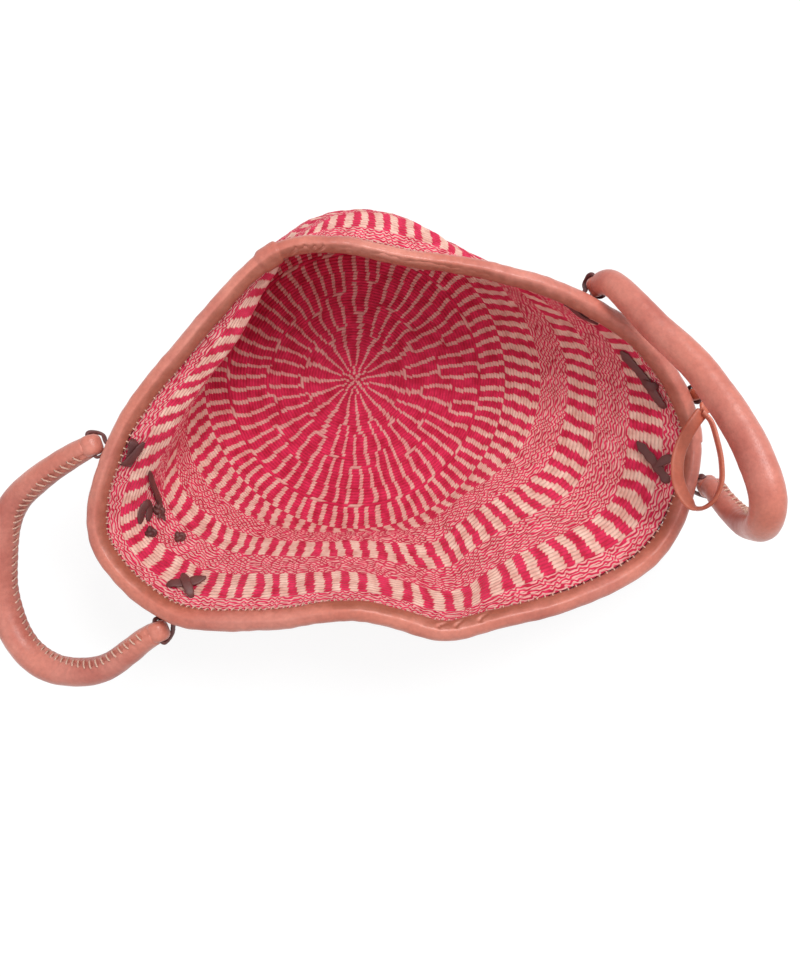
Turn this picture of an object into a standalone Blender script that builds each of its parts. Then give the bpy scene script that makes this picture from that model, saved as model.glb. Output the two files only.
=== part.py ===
# Kiondo basket: a soft woven bag with a leather rim, two rope-cored leather handles,
# dark leather lashings, a closure loop and a button. Metres, +Z up, ground at z = 0,
# origin at the centre of the flat base.

import math

import bmesh
import bpy
import numpy as np
from mathutils import Matrix, Vector

# Weave: rows are counted out from the centre of the base, row_pitch apart where it lies flat
row_pitch = 0.002066
floor_radius = 0.106
foot_lift = 0.0065
rim_reach = 0.150
rim_height = 0.120
belly_reach = 0.010
crease_reach = 0.006
wall = 0.0032
clearance = 0.0003
flat_rows = 38.0
floor_rows = 52.5
fold_rows = 92.5
rim_rows = 109.0
rings = 80
wall_row_list = (19.0, 38.0, 45.0, 52.5, 58.0, 65.0, 74.0, 83.0, 88.0, 92.5, 97.5, 102.0)

# The rim and the ring where the wall folds outward, one row for each sixteenth of a turn:
# across and along as shares of rim_reach, up as a share of rim_height
rim_shares = (
    (1.47, -0.32, 0.55), (1.27, 0.05, 0.65), (0.92, 0.25, 0.80), (0.56, 0.34, 0.90),
    (0.25, 0.38, 0.96), (-0.04, 0.43, 0.98), (-0.31, 0.37, 0.97), (-0.645, 0.03, 0.92),
    (-0.91, -0.32, 0.88), (-1.02, -0.72, 0.77), (-0.73, -1.01, 0.82), (-0.34, -1.04, 0.92),
    (0.02, -0.99, 1.00), (0.38, -1.04, 0.93), (0.86, -0.98, 0.85), (1.30, -0.76, 0.67))
fold_shares = (
    (1.23, -0.20, 0.38), (1.15, 0.09, 0.46), (0.86, 0.30, 0.57), (0.56, 0.40, 0.67),
    (0.25, 0.56, 0.78), (-0.03, 0.58, 0.79), (-0.26, 0.42, 0.77), (-0.46, 0.10, 0.71),
    (-0.68, -0.22, 0.73), (-0.87, -0.63, 0.58), (-0.63, -0.85, 0.63), (-0.32, -0.87, 0.71),
    (0.02, -0.86, 0.75), (0.41, -0.91, 0.67), (0.76, -0.77, 0.62), (1.13, -0.58, 0.46))
belly_shares = (
    0.0, 0.0, 0.2, 0.3, 0.3, 0.2, -0.2, 0.0, 0.4, 0.2, -0.1, -0.4, -0.8, -1.0, -1.2, -0.6)
belly_peak_share = 0.4
lip_share = 1.3
lip_rows = 5.0
crease_turn_share = 0.815
crease_width_share = 0.022

# Rim: a leather strip folded round a rope core, open along the slot that grips the wall
rim_radius = 0.007
leather = 0.0018
rim_sides = 9
rim_core_sides = 7
rim_stitch_radius = 0.0007
rim_grip_reach = 0.0094
rim_even_share = 0.012
rim_core_room = 0.0006

# Handles: a leather cover sewn round a rope core, with a bored end at each hinge point
handle_end_radius = 0.007
handle_middle_radius = 0.0096
handle_fullness = 0.8
handle_samples = 400
handle_stations = 27
handle_sides = 10
handle_core_sides = 7
plug_sides = 12
seam_gap = 0.0024
seam_thread_radius = 0.0006
seam_stitch_pitch = 0.0085
thread_sides = 4
knuckle_radius = 0.0068
knuckle_length = 0.013
knuckle_sides = 16
bore_sides = 12
hinge_reach = 0.0165
hinge_drop = 0.008
left_handle_reach = 0.107
right_handle_reach = 0.0965
left_handle_turn_shares = (0.512, 0.624)
right_handle_turn_shares = (0.112, -0.022)
left_handle_tilt = math.radians(-20.0)
right_handle_tilt = math.radians(88.0)

# Centre line of each handle: along as a share of the distance between its hinge points,
# out and aside as shares of its reach
left_handle_shares = (
    (0.0, 0.0, 0.0), (0.01, 0.12, 0.0), (0.03, 0.27, 0.0), (0.06, 0.44, 0.0), (0.12, 0.64, 0.0),
    (0.23, 0.79, 0.0), (0.44, 0.93, 0.0), (0.60, 0.99, 0.0), (0.77, 1.0, 0.0), (0.92, 0.94, 0.0),
    (1.03, 0.81, 0.0), (1.09, 0.62, 0.0), (1.10, 0.43, 0.0), (1.06, 0.25, 0.0), (1.02, 0.11, 0.0),
    (1.0, 0.0, 0.0))
right_handle_shares = (
    (0.0, 0.0, 0.0), (0.01, 0.12, 0.03), (0.09, 0.25, 0.04), (0.22, 0.38, 0.05), (0.42, 0.57, 0.09),
    (0.62, 0.76, 0.065), (0.78, 0.91, 0.01), (0.93, 0.99, -0.07), (1.03, 0.89, -0.12),
    (1.08, 0.67, -0.10), (1.09, 0.44, -0.07), (1.04, 0.20, -0.03), (1.01, 0.09, 0.0),
    (1.0, 0.0, 0.0))

# Lashings: a leather thong through the bored end, under the rim and through two wall holes
thong_radius = 0.00175
hole_room = 0.0013
thong_lift = 0.0009
staple_room = 0.0018
hole_reach = 0.0165
tail_reach = 0.034
bend_reach = 0.004
hole_half_spacing = 0.0094
tail_half_spacing = 0.0045
lashing_steps = 40
thong_sides = 6
leg_start_share = 0.25
under_rim_room = 0.0032
wall_cutter_length = 0.016

# Closure loop: a strap bent into a long eye above the rim, its ends joined in one bored end
strap_width = 0.0085
strap_thickness = 0.0026
loop_hinge_turn_share = 0.026
loop_hinge_reach = 0.0135
loop_hinge_drop = 0.008
loop_knuckle_radius = 0.0045
loop_steps = 40
stem_steps = 9
loop_hole_half_spacing = 0.0072
loop_size = 0.076
stem_width_share = 0.97
stem_thickness_share = 1.3
round_share = 0.6
strap_lean = math.radians(50.0)
loop_neck_shares = ((0.0, 0.0, 0.0), (0.02, 0.0, 0.20), (0.0, -0.07, 0.36))
loop_eye_shares = (
    (-0.11, -0.20, 0.48), (-0.22, -0.34, 0.52), (-0.32, -0.54, 0.55), (-0.33, -0.75, 0.56),
    (-0.26, -0.91, 0.57), (-0.17, -0.98, 0.57), (-0.06, -0.925, 0.57), (0.01, -0.785, 0.57),
    (0.015, -0.60, 0.56), (-0.015, -0.42, 0.54), (-0.05, -0.28, 0.51))

# Button: a turned disc held outside the wall by a short thong knotted at both ends
button_turn_share = 0.567
button_row = 88.0
button_radius = 0.013
button_thickness = 0.006
button_dome = 0.002
button_sides = 28
button_standoff = 0.0012
button_cutter_length = 0.024
knot_radius = 0.0042

# Button profile from back to front: radius, thickness and dome as shares of the values above,
# and each knot from its tip to the wall: radius and distance as shares of knot_radius
button_shares = (
    (0.86, 0.0, 0.0), (1.0, 0.35, 0.0), (1.0, 0.6, 0.0), (0.8, 1.0, 0.0), (0.4, 1.0, 0.7), (0.2, 1.0, 0.8))
knot_shares = ((0.35, 1.8), (0.85, 1.3), (1.0, 0.8), (0.8, 0.3))
knot_neck_share = 0.05
knot_sides = 12

# Finishes: linear colour and roughness
finish_list = (
    ("woven_sisal", (0.52, 0.045, 0.075), 0.85),
    ("tan_leather", (0.70, 0.31, 0.22), 0.5),
    ("dark_leather", (0.07, 0.025, 0.028), 0.6),
    ("sisal_rope", (0.55, 0.42, 0.27), 0.9),
    ("pale_thread", (0.78, 0.60, 0.50), 0.8),
    ("button_wood", (0.20, 0.09, 0.05), 0.45))


def material(name, colour, roughness):
    """Principled material in a linear colour."""
    made = bpy.data.materials.new(name)
    made.use_nodes = True
    shader = made.node_tree.nodes["Principled BSDF"]
    shader.inputs["Base Color"].default_value = (*colour, 1.0)
    shader.inputs["Roughness"].default_value = roughness
    made.diffuse_color = (*colour, 1.0)
    return made


def solid(name, points, faces, finish):
    """One mesh object in world places, faces outward, shaded smooth with sharp edges kept."""
    mesh = bpy.data.meshes.new(name)
    mesh.from_pydata([tuple(p) for p in points], [], [tuple(f) for f in faces])
    shape = bmesh.new()
    shape.from_mesh(mesh)
    bmesh.ops.recalc_face_normals(shape, faces=shape.faces)
    shape.to_mesh(mesh)
    shape.free()
    mesh.shade_smooth()
    mesh.set_sharp_from_angle(angle=math.radians(40))
    thing = bpy.data.objects.new(name, mesh)
    mesh.materials.append(finish)
    bpy.context.scene.collection.objects.link(thing)
    return thing


def drop_crumbs(mesh):
    """Keep the largest island of a mesh, without the slivers that a Boolean can leave."""
    shape = bmesh.new()
    shape.from_mesh(mesh)
    left = set(shape.verts)
    islands = []
    while left:
        edge = [left.pop()]
        island = set(edge)
        while edge:
            near = {e.other_vert(v) for v in edge for e in v.link_edges} & left
            left -= near
            island |= near
            edge = list(near)
        islands.append(island)
    largest = max(islands, key=len)
    bmesh.ops.delete(shape, geom=[v for v in shape.verts if v not in largest], context="VERTS")
    shape.to_mesh(mesh)
    shape.free()


def combine(target, tool, operation):
    """Boolean of target with tool, applied, so that only the finished solid stays."""
    step = target.modifiers.new(operation.lower(), "BOOLEAN")
    step.operation = operation
    step.solver = "EXACT"
    step.object = tool
    depsgraph = bpy.context.evaluated_depsgraph_get()
    finished = bpy.data.meshes.new_from_object(target.evaluated_get(depsgraph))
    drop_crumbs(finished)
    target.modifiers.clear()
    target.data = finished
    bpy.data.objects.remove(tool)


def around(shares, turn):
    """Closed smooth curve through evenly spaced stations, each pair joined by a cubic."""
    table = np.asarray(shares, float)
    if table.ndim == 1:
        table = table[:, None]
    count = len(table)
    place = np.asarray(turn, float) * count
    first = np.floor(place).astype(int)
    t = (place - first)[..., None]
    before, here, after, beyond = (table[(first + k) % count] for k in (-1, 0, 1, 2))
    return 0.5 * (2 * here + (after - before) * t
                  + (2 * before - 5 * here + 4 * after - beyond) * t ** 2
                  + (3 * here - before - 3 * after + beyond) * t ** 3)


def joined(t, start, leave, end, arrive):
    """Cubic from start to end that leaves and arrives with the given slopes."""
    return ((2 * t ** 3 - 3 * t ** 2 + 1) * start + (t ** 3 - 2 * t ** 2 + t) * leave
            + (3 * t ** 2 - 2 * t ** 3) * end + (t ** 3 - t ** 2) * arrive)


def inside_point(turn, row):
    """Inner face of the woven wall: a flat disc, a rounded foot, then a soft wall to the rim."""
    turn, row = np.broadcast_arrays(np.asarray(turn, float), np.asarray(row, float))
    angle = 2 * np.pi * turn
    out = np.stack([np.cos(angle), np.sin(angle), np.zeros_like(angle)], -1)
    up = np.array([0.0, 0.0, 1.0])
    row = row[..., None]
    flat = out * flat_rows * row_pitch
    foot = out * floor_radius + up * foot_lift
    size = np.array([rim_reach, rim_reach, rim_height])
    away = ((turn - crease_turn_share + 0.5) % 1 - 0.5) / crease_width_share
    crease = out * (crease_reach * np.exp(-away ** 2))[..., None]
    fold = around(fold_shares, turn) * size + crease
    rim = around(rim_shares, turn) * size + crease
    at_foot = (fold - flat) / (fold_rows - flat_rows)
    at_fold = (rim - foot) / (rim_rows - floor_rows)
    at_rim = lip_share * (rim - fold) / (rim_rows - fold_rows) + (1 - lip_share) * at_fold

    def stretch(low, high, start, leave, end, arrive):
        t = (row - low) / (high - low)
        return joined(t, start, leave * (high - low), end, arrive * (high - low))

    share = (row - floor_rows) / (fold_rows - floor_rows)
    peak = belly_peak_share ** 2 * (1 - belly_peak_share) ** 3
    belly = out * around(belly_shares, turn) * belly_reach * share ** 2 * (1 - share) ** 3 / peak
    floor = out * row * row_pitch
    corner = stretch(flat_rows, floor_rows, flat, out * row_pitch, foot, at_foot)
    side = stretch(floor_rows, fold_rows, foot, at_foot, fold, at_fold) + belly
    lip = stretch(fold_rows, rim_rows, fold, at_fold, rim, at_rim)
    place = np.where(row < flat_rows, floor, np.where(row < floor_rows, corner,
                                                      np.where(row < fold_rows, side, lip)))
    return place + up * wall


def wall_frame(turn, row):
    """Place on the inner face, with unit directions round the basket, up the wall and outward."""
    turn, row = np.broadcast_arrays(np.asarray(turn, float), np.asarray(row, float))
    turn_step = 1 / (40 * rings)
    row_step = rim_rows / 4000
    place = inside_point(turn, row)
    along = inside_point(turn + turn_step, row) - inside_point(turn - turn_step, row)
    up = inside_point(turn, row + row_step) - inside_point(turn, row - row_step)
    along = along / np.linalg.norm(along, axis=-1, keepdims=True)
    up = up / np.linalg.norm(up, axis=-1, keepdims=True)
    outward = np.cross(along, up)
    return place, along, up, outward / np.linalg.norm(outward, axis=-1, keepdims=True)


def turn_for(length, turn, row):
    """Share of a turn that covers a length along a row."""
    step = 1 / (40 * rings)
    run = np.linalg.norm(inside_point(turn + step, row) - inside_point(turn - step, row))
    return length * 2 * step / run


def row_below_rim(turn, reach):
    """Row that lies a given reach down the wall from the centre of the rim."""
    run = np.linalg.norm(inside_point(turn, rim_rows) - inside_point(turn, rim_rows - lip_rows))
    return rim_rows - reach * lip_rows / run


def on_wall(turn, row, off):
    """Point at a distance off the inner face, outward positive."""
    place, _, _, outward = wall_frame(turn, row)
    return place + outward * off


def rim_centre(turn):
    """Centre of the rim roll, level with the middle of the wall, and its own directions.

    The leather evens out how the wall tilts, so its up direction is the wall's, averaged
    over a short stretch to both sides.
    """
    place, along, _, _ = wall_frame(turn, rim_rows)
    steps = np.linspace(-rim_even_share, rim_even_share, 5)
    up = sum(wall_frame(turn + step, rim_rows)[2] for step in steps)
    up = unit(up - along * np.sum(up * along, axis=-1, keepdims=True))
    outward = np.cross(along, up)
    return place + outward * (wall / 2), along, up, outward


def smooth_path(points, count):
    """Evenly spaced places on a smooth curve through the points."""
    knots = np.asarray(points, float)
    knots = np.vstack([2 * knots[0] - knots[1], knots, 2 * knots[-1] - knots[-2]])
    spans = len(knots) - 3
    t = np.linspace(0.0, spans, 30 * spans + 1)
    first = np.minimum(t.astype(int), spans - 1)
    t = (t - first)[:, None]
    a, b, c, d = (knots[first + k] for k in range(4))
    curve = 0.5 * (2 * b + (c - a) * t + (2 * a - 5 * b + 4 * c - d) * t ** 2
                   + (3 * b - a - 3 * c + d) * t ** 3)
    run = np.concatenate([[0.0], np.cumsum(np.linalg.norm(np.diff(curve, axis=0), axis=1))])
    want = np.linspace(0.0, run[-1], count)
    return np.stack([np.interp(want, run, curve[:, k]) for k in range(3)], 1), run[-1]


def unit(vectors):
    return vectors / np.linalg.norm(vectors, axis=-1, keepdims=True)


def sweep(name, sections, closed, finish):
    """Skin over equal polygons, given as stations by corners by 3, capped unless closed."""
    stations, corners, _ = sections.shape
    count = stations if closed else stations - 1
    faces = []
    for i in range(count):
        for k in range(corners):
            here = i * corners
            there = ((i + 1) % stations) * corners
            after = (k + 1) % corners
            faces.append((here + k, here + after, there + after, there + k))
    if not closed:
        faces.append(tuple(range(corners))[::-1])
        faces.append(tuple((stations - 1) * corners + k for k in range(corners)))
    return solid(name, sections.reshape(-1, 3), faces, finish)


def carried_frames(path, closed=False):
    """Two cross directions at each station, turned as little as possible from one to the next."""
    if closed:
        tangent = unit(np.roll(path, -1, 0) - np.roll(path, 1, 0))
    else:
        tangent = unit(np.gradient(path, axis=0))
    first = np.cross(tangent[0], [0.0, 0.0, 1.0])
    if np.linalg.norm(first) < 0.1:
        first = np.cross(tangent[0], [1.0, 0.0, 0.0])
    one = [unit(first)]
    for i in range(1, len(path)):
        side = one[-1] - tangent[i] * (one[-1] @ tangent[i])
        one.append(unit(side))
    one = np.array(one)
    return one, np.cross(tangent, one)


def round_tube(name, path, radius, sides, finish, closed=False):
    """Round tube of one radius, or a radius for each station, along a path."""
    one, two = carried_frames(path, closed)
    angle = 2 * np.pi * np.arange(sides) / sides
    radius = np.broadcast_to(radius, len(path))[:, None, None]
    ring = np.cos(angle)[None, :, None] * one[:, None] + np.sin(angle)[None, :, None] * two[:, None]
    return sweep(name, path[:, None] + radius * ring, closed, finish)


def cylinder(name, centre, axis, radius, length, sides, finish):
    """Round bar about a centre along an axis."""
    axis = unit(np.asarray(axis, float))
    ends = np.array([centre - axis * length / 2, centre + axis * length / 2])
    return round_tube(name, ends, radius, sides, finish)


def join_helpers(name, pieces):
    """Several bodies that don't touch, kept in one helper mesh for a Boolean."""
    shape = bmesh.new()
    for piece in pieces:
        shape.from_mesh(piece.data)
    mesh = bpy.data.meshes.new(name)
    shape.to_mesh(mesh)
    shape.free()
    for piece in pieces:
        bpy.data.objects.remove(piece)
    helper = bpy.data.objects.new(name, mesh)
    bpy.context.scene.collection.objects.link(helper)
    return helper


def open_ring(outer, inner, gap, sides):
    """Section of a tube that is slit along one side, as radius and angle from the slit."""
    outer_start = math.asin(gap / 2 / outer)
    inner_start = math.asin(gap / 2 / inner)
    outer_angle = np.linspace(outer_start, 2 * np.pi - outer_start, sides)
    inner_angle = np.linspace(2 * np.pi - inner_start, inner_start, sides)
    return np.concatenate([outer_angle, inner_angle]), np.concatenate([[outer] * sides, [inner] * sides])


def rim_core_radius():
    """Largest core that clears both the faceted leather and the wall's edge."""
    return (rim_radius - leather) * math.cos(math.pi / (rim_sides - 1)) - rim_core_room


def make_woven_body(finish):
    """The whole weave, base and wall, as one closed sheet with an open top."""
    turns = np.arange(rings) / rings
    rows = np.array(wall_row_list)
    turn_grid, row_grid = np.meshgrid(turns, rows)
    inner, _, _, outward = wall_frame(turn_grid, row_grid)
    centre, _, up, rim_out = rim_centre(turns)
    grip = np.array([rim_grip_reach, rim_radius - leather])[:, None, None]
    straight = centre - up * grip
    outer = np.concatenate([inner + outward * wall, straight + rim_out * wall / 2])
    inner = np.concatenate([inner, straight - rim_out * wall / 2])
    levels = len(inner)
    points = np.concatenate([[[0.0, 0.0, wall]], inner.reshape(-1, 3),
                             [[0.0, 0.0, 0.0]], outer.reshape(-1, 3)])
    outer_pole = 1 + levels * rings
    faces = []
    for i in range(rings):
        after = (i + 1) % rings
        faces.append((0, 1 + i, 1 + after))
        faces.append((outer_pole, outer_pole + 1 + after, outer_pole + 1 + i))
        for level in range(levels - 1):
            low = level * rings
            high = low + rings
            faces.append((1 + low + i, 1 + high + i, 1 + high + after, 1 + low + after))
            faces.append((outer_pole + 1 + low + i, outer_pole + 1 + low + after,
                          outer_pole + 1 + high + after, outer_pole + 1 + high + i))
        top = (levels - 1) * rings
        faces.append((1 + top + i, outer_pole + 1 + top + i, outer_pole + 1 + top + after,
                      1 + top + after))
    return solid("woven_body", points, faces, finish)


def make_rim(leather_finish, rope_finish, thread_finish):
    """Folded leather binding, the rope core inside it and the stitching at its inner edge."""
    turns = np.arange(rings) / rings
    centre, _, up, outward = rim_centre(turns)
    gap = wall + 2 * clearance
    angle, radius = open_ring(rim_radius, rim_radius - leather, gap, rim_sides)
    section = (-np.cos(angle)[None, :, None] * up[:, None]
               + np.sin(angle)[None, :, None] * outward[:, None])
    sweep("rim_binding", centre[:, None] + radius[None, :, None] * section, True, leather_finish)
    round_angle = 2 * np.pi * np.arange(rim_core_sides) / rim_core_sides
    core = (-np.cos(round_angle)[None, :, None] * up[:, None]
            + np.sin(round_angle)[None, :, None] * outward[:, None])
    sweep("rim_core", centre[:, None] + rim_core_radius() * core, True, rope_finish)
    reach = rim_radius + clearance + rim_stitch_radius
    inward = wall / 2 + clearance + rim_stitch_radius
    stitch = centre - up * reach - outward * inward
    round_tube("rim_stitching", stitch, rim_stitch_radius, thread_sides, thread_finish, closed=True)


def hinge_point(turn, reach, drop):
    """Point beside the rim: level reach outward from its centre and a drop below it."""
    centre, along, _, _ = rim_centre(turn)
    outward = unit(np.cross(along, [0.0, 0.0, 1.0]))
    return centre + outward * reach - np.array([0.0, 0.0, drop])


def handle_frame(turn_shares, tilt):
    """Hinge points, and unit directions along the hinge line, out along the tilt, and aside."""
    start, end = (hinge_point(turn, hinge_reach, hinge_drop) for turn in turn_shares)
    along = unit(end - start)
    level = unit(np.cross(along, [0.0, 0.0, 1.0]))
    if level @ (start + end) < 0:
        level = -level
    rise = np.cross(level, along)
    if rise[2] < 0:
        rise = -rise
    out = level * math.cos(tilt) + rise * math.sin(tilt)
    aside = level * math.sin(tilt) - rise * math.cos(tilt)
    return start, end, along, out, aside


def handle_radius(share):
    """Cover radius, slim at both ends and full in the middle."""
    fullness = np.sin(np.pi * share) ** handle_fullness
    return handle_end_radius + (handle_middle_radius - handle_end_radius) * fullness


def make_handle(side, turn_shares, shares, reach, tilt, finishes):
    """Slit leather cover with bored ends, rope core and whip-stitched seam of one handle."""
    leather_finish, rope_finish, thread_finish = finishes
    start, end, along, out, aside = handle_frame(turn_shares, tilt)
    chord = np.linalg.norm(end - start)
    route = [start + along * chord * a + out * reach * o + aside * reach * s for a, o, s in shares]
    fine, length = smooth_path(route, handle_samples)
    share = np.linspace(0.0, 1.0, handle_samples)
    plane = np.cross(along, out)

    def stations(first, last, count):
        want = np.linspace(first, last, count) / length
        place = np.stack([np.interp(want, share, fine[:, k]) for k in range(3)], 1)
        ahead = np.stack([np.interp(want, share, np.gradient(fine[:, k])) for k in range(3)], 1)
        tangent = unit(ahead)
        cross = unit(plane - tangent * (tangent @ plane)[:, None])
        inward = np.cross(tangent, cross)
        middle = (start + end) / 2
        if inward[count // 2] @ (middle - place[count // 2]) < 0:
            inward = -inward
        return want, place, cross, inward

    cover_start = knuckle_radius / 2
    want, place, cross, inward = stations(cover_start, length - cover_start, handle_stations)
    outer = handle_radius(want)
    sections = []
    for i in range(handle_stations):
        angle, radius = open_ring(outer[i], outer[i] - leather, seam_gap, handle_sides)
        sections.append(place[i] + radius[:, None] * (np.cos(angle)[:, None] * inward[i]
                                                      + np.sin(angle)[:, None] * cross[i]))
    cover = sweep(side + "_handle_cover", np.array(sections), False, leather_finish)

    plugs = []
    plug_length = want[1] * length - clearance
    for first, last in ((cover_start / 2, plug_length), (length - plug_length, length - cover_start / 2)):
        _, spots, cross_end, inward_end = stations(first, last, 4)
        turn = 2 * np.pi * np.arange(plug_sides) / plug_sides
        ring = (np.cos(turn)[None, :, None] * inward_end[:, None]
                + np.sin(turn)[None, :, None] * cross_end[:, None])
        plug_radius = handle_end_radius - leather / 2
        plugs.append(sweep("plug", spots[:, None] + plug_radius * ring, False, leather_finish))
    combine(cover, join_helpers(side + "_plugs", plugs), "UNION")
    ends = [cylinder("knuckle", point, along, knuckle_radius, knuckle_length, knuckle_sides,
                     leather_finish) for point in (start, end)]
    combine(cover, join_helpers(side + "_knuckles", ends), "UNION")
    bore = thong_radius + clearance
    bores = [cylinder("bore", point, along, bore, 2 * knuckle_length, bore_sides, leather_finish)
             for point in (start, end)]
    combine(cover, join_helpers(side + "_bores", bores), "DIFFERENCE")

    core_radius = (outer[1:-1] - leather) * math.cos(math.pi / (handle_sides - 1)) - clearance
    turn = 2 * np.pi * np.arange(handle_core_sides) / handle_core_sides
    ring = (np.cos(turn)[None, :, None] * inward[1:-1, None]
            + np.sin(turn)[None, :, None] * cross[1:-1, None])
    core = sweep(side + "_handle_core", place[1:-1, None] + core_radius[:, None, None] * ring,
                 False, rope_finish)

    stitches = int((length - 4 * plug_length) / seam_stitch_pitch)
    spots = 2 * stitches
    want, place, cross, inward = stations(2 * plug_length, length - 2 * plug_length, spots)
    swing = np.where(np.arange(spots) % 2 == 0, -1.0, 1.0)[:, None] * seam_gap
    lift = handle_radius(want)[:, None] + clearance + seam_thread_radius
    seam = round_tube(side + "_handle_seam", place + inward * lift + cross * swing,
                      seam_thread_radius, thread_sides, thread_finish)
    hinge = bpy.data.objects.new(side + "_handle_hinge", None)
    hang_on(hinge, (start + end) / 2, (cover, core, seam))
    return start, end


def hang_on(hinge, place, pieces):
    """Parent pieces to an empty on their joint's axis, with their own origins there too."""
    bpy.context.scene.collection.objects.link(hinge)
    hinge.location = place
    for piece in pieces:
        piece.data.transform(Matrix.Translation(-Vector(place)))
        piece.parent = hinge


def lashing_route(turn, bar_centre, bar_axis, bar_half, spacing, knuckle):
    """Thong from one tail, through the wall, over the bar line and back to the other tail."""
    lift = thong_radius + thong_lift
    hole_row = row_below_rim(turn, hole_reach)
    tail_row = row_below_rim(turn, tail_reach)
    bend_row = row_below_rim(turn, hole_reach + bend_reach)
    bar_axis = bar_axis if bar_axis @ rim_centre(turn)[1] > 0 else -bar_axis
    hole = on_wall(turn, hole_row, wall) - bar_centre
    inward = unit(hole - bar_axis * (hole @ bar_axis))
    aside = inward * (knuckle + thong_radius + thong_lift)
    strands = []
    for side, raise_by in ((-1.0, 0.0), (1.0, 2 * thong_radius + clearance)):
        hole_turn = turn + turn_for(side * spacing, turn, hole_row)
        tail_turn = turn - turn_for(side * tail_half_spacing, turn, tail_row)
        cross_row = (hole_row + tail_row) / 2
        centre, along, _, _ = rim_centre(turn + turn_for(side * spacing, turn, rim_rows))
        middle = (bar_centre + on_wall(turn, hole_row, wall)) / 2 - rim_centre(turn)[0]
        middle = middle - along * (middle @ along)
        least = rim_radius + thong_radius + under_rim_room
        under = centre + unit(middle) * max(least, np.linalg.norm(middle))
        strands.append([
            on_wall(tail_turn, tail_row, -lift),
            on_wall(turn, cross_row, -lift - raise_by),
            on_wall(hole_turn, bend_row, -lift - thong_radius / 2),
            on_wall(hole_turn, hole_row, -thong_lift),
            on_wall(hole_turn, hole_row, wall / 2),
            on_wall(hole_turn, hole_row, wall + thong_lift),
            under,
            bar_centre + bar_axis * side * bar_half + aside,
            bar_centre + bar_axis * side * bar_half + aside * leg_start_share])
    inner_bar = bar_axis * (bar_half - staple_room)
    bar = [bar_centre - inner_bar, bar_centre, bar_centre + inner_bar]
    return strands[0] + bar + strands[1][::-1]


def make_lashing(name, turn, bar_centre, bar_axis, bar_half, spacing, knuckle, finish):
    """One thong, bent like a staple, that ties a bored end to the wall. Returns its hole places."""
    route = lashing_route(turn, bar_centre, bar_axis, bar_half, spacing, knuckle)
    path, _ = smooth_path(route, lashing_steps)
    round_tube(name, path, thong_radius, thong_sides, finish)
    hole_row = row_below_rim(turn, hole_reach)
    return [(turn + turn_for(side * spacing, turn, hole_row), hole_row) for side in (-1.0, 1.0)]


def loop_frame():
    """Hinge point of the closure loop and its level hinge axis."""
    point = hinge_point(loop_hinge_turn_share, loop_hinge_reach, loop_hinge_drop)
    _, along, _, _ = rim_centre(loop_hinge_turn_share)
    return point, unit(along * np.array([1.0, 1.0, 0.0]))


def make_closure_loop(finish):
    """Strap that rises past the rim and bends round into an eye, with a bored end."""
    point, axis = loop_frame()
    neck = [point + loop_size * np.array(share) for share in loop_neck_shares]
    eye = [point + loop_size * np.array(share) for share in loop_eye_shares]
    eye_path, _ = smooth_path(eye + [eye[0]], loop_steps)
    eye_path = eye_path[:-1]
    tangent = unit(np.roll(eye_path, -1, 0) - np.roll(eye_path, 1, 0))
    away = eye_path - eye_path.mean(0)
    away = unit(away - tangent * np.sum(away * tangent, axis=1)[:, None])
    upright = np.array([0.0, 0.0, 1.0]) * math.cos(strap_lean) + away * math.sin(strap_lean)
    across = unit(upright - tangent * np.sum(upright * tangent, axis=1)[:, None])
    half_width = strap_width / 2
    half_thick = strap_thickness / 2
    corners = ((1, -round_share), (1, round_share), (round_share, 1), (-round_share, 1),
               (-1, round_share), (-1, -round_share), (-round_share, -1), (round_share, -1))
    sections = np.stack([eye_path + across * half_width * a + np.cross(tangent, across) * half_thick * b
                         for a, b in corners], 1)
    strap = sweep("closure_loop", sections, True, finish)
    stem_path, _ = smooth_path(neck + [eye[0]], stem_steps)
    stem_tangent = unit(np.gradient(stem_path, axis=0))
    face = unit(axis - stem_tangent * (stem_tangent @ axis)[:, None])
    edge = np.cross(stem_tangent, face)
    stem_sections = np.stack([stem_path + face * half_width * stem_width_share * a
                              + edge * half_thick * stem_thickness_share * b for a, b in corners], 1)
    combine(strap, sweep("stem", stem_sections, False, finish), "UNION")
    knuckle = cylinder("knuckle", point, axis, loop_knuckle_radius, strap_width, knuckle_sides, finish)
    combine(strap, knuckle, "UNION")
    bore = cylinder("bore", point, axis, thong_radius + clearance, 2 * strap_width, bore_sides, finish)
    combine(strap, bore, "DIFFERENCE")
    hang_on(bpy.data.objects.new("closure_loop_hinge", None), point, (strap,))
    return point, axis


def turned(name, centre, axis, profile, sides, finish):
    """Solid turned about an axis from a profile of radius and height, ends on the axis."""
    axis = unit(axis)
    side = unit(np.cross(axis, [0.0, 0.0, 1.0]))
    other = np.cross(axis, side)
    angle = 2 * np.pi * np.arange(sides)[:, None] / sides
    ring = np.cos(angle) * side + np.sin(angle) * other
    rings_at = [centre + axis * height + radius * ring for radius, height in profile]
    return sweep(name, np.array(rings_at), False, finish)


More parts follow.
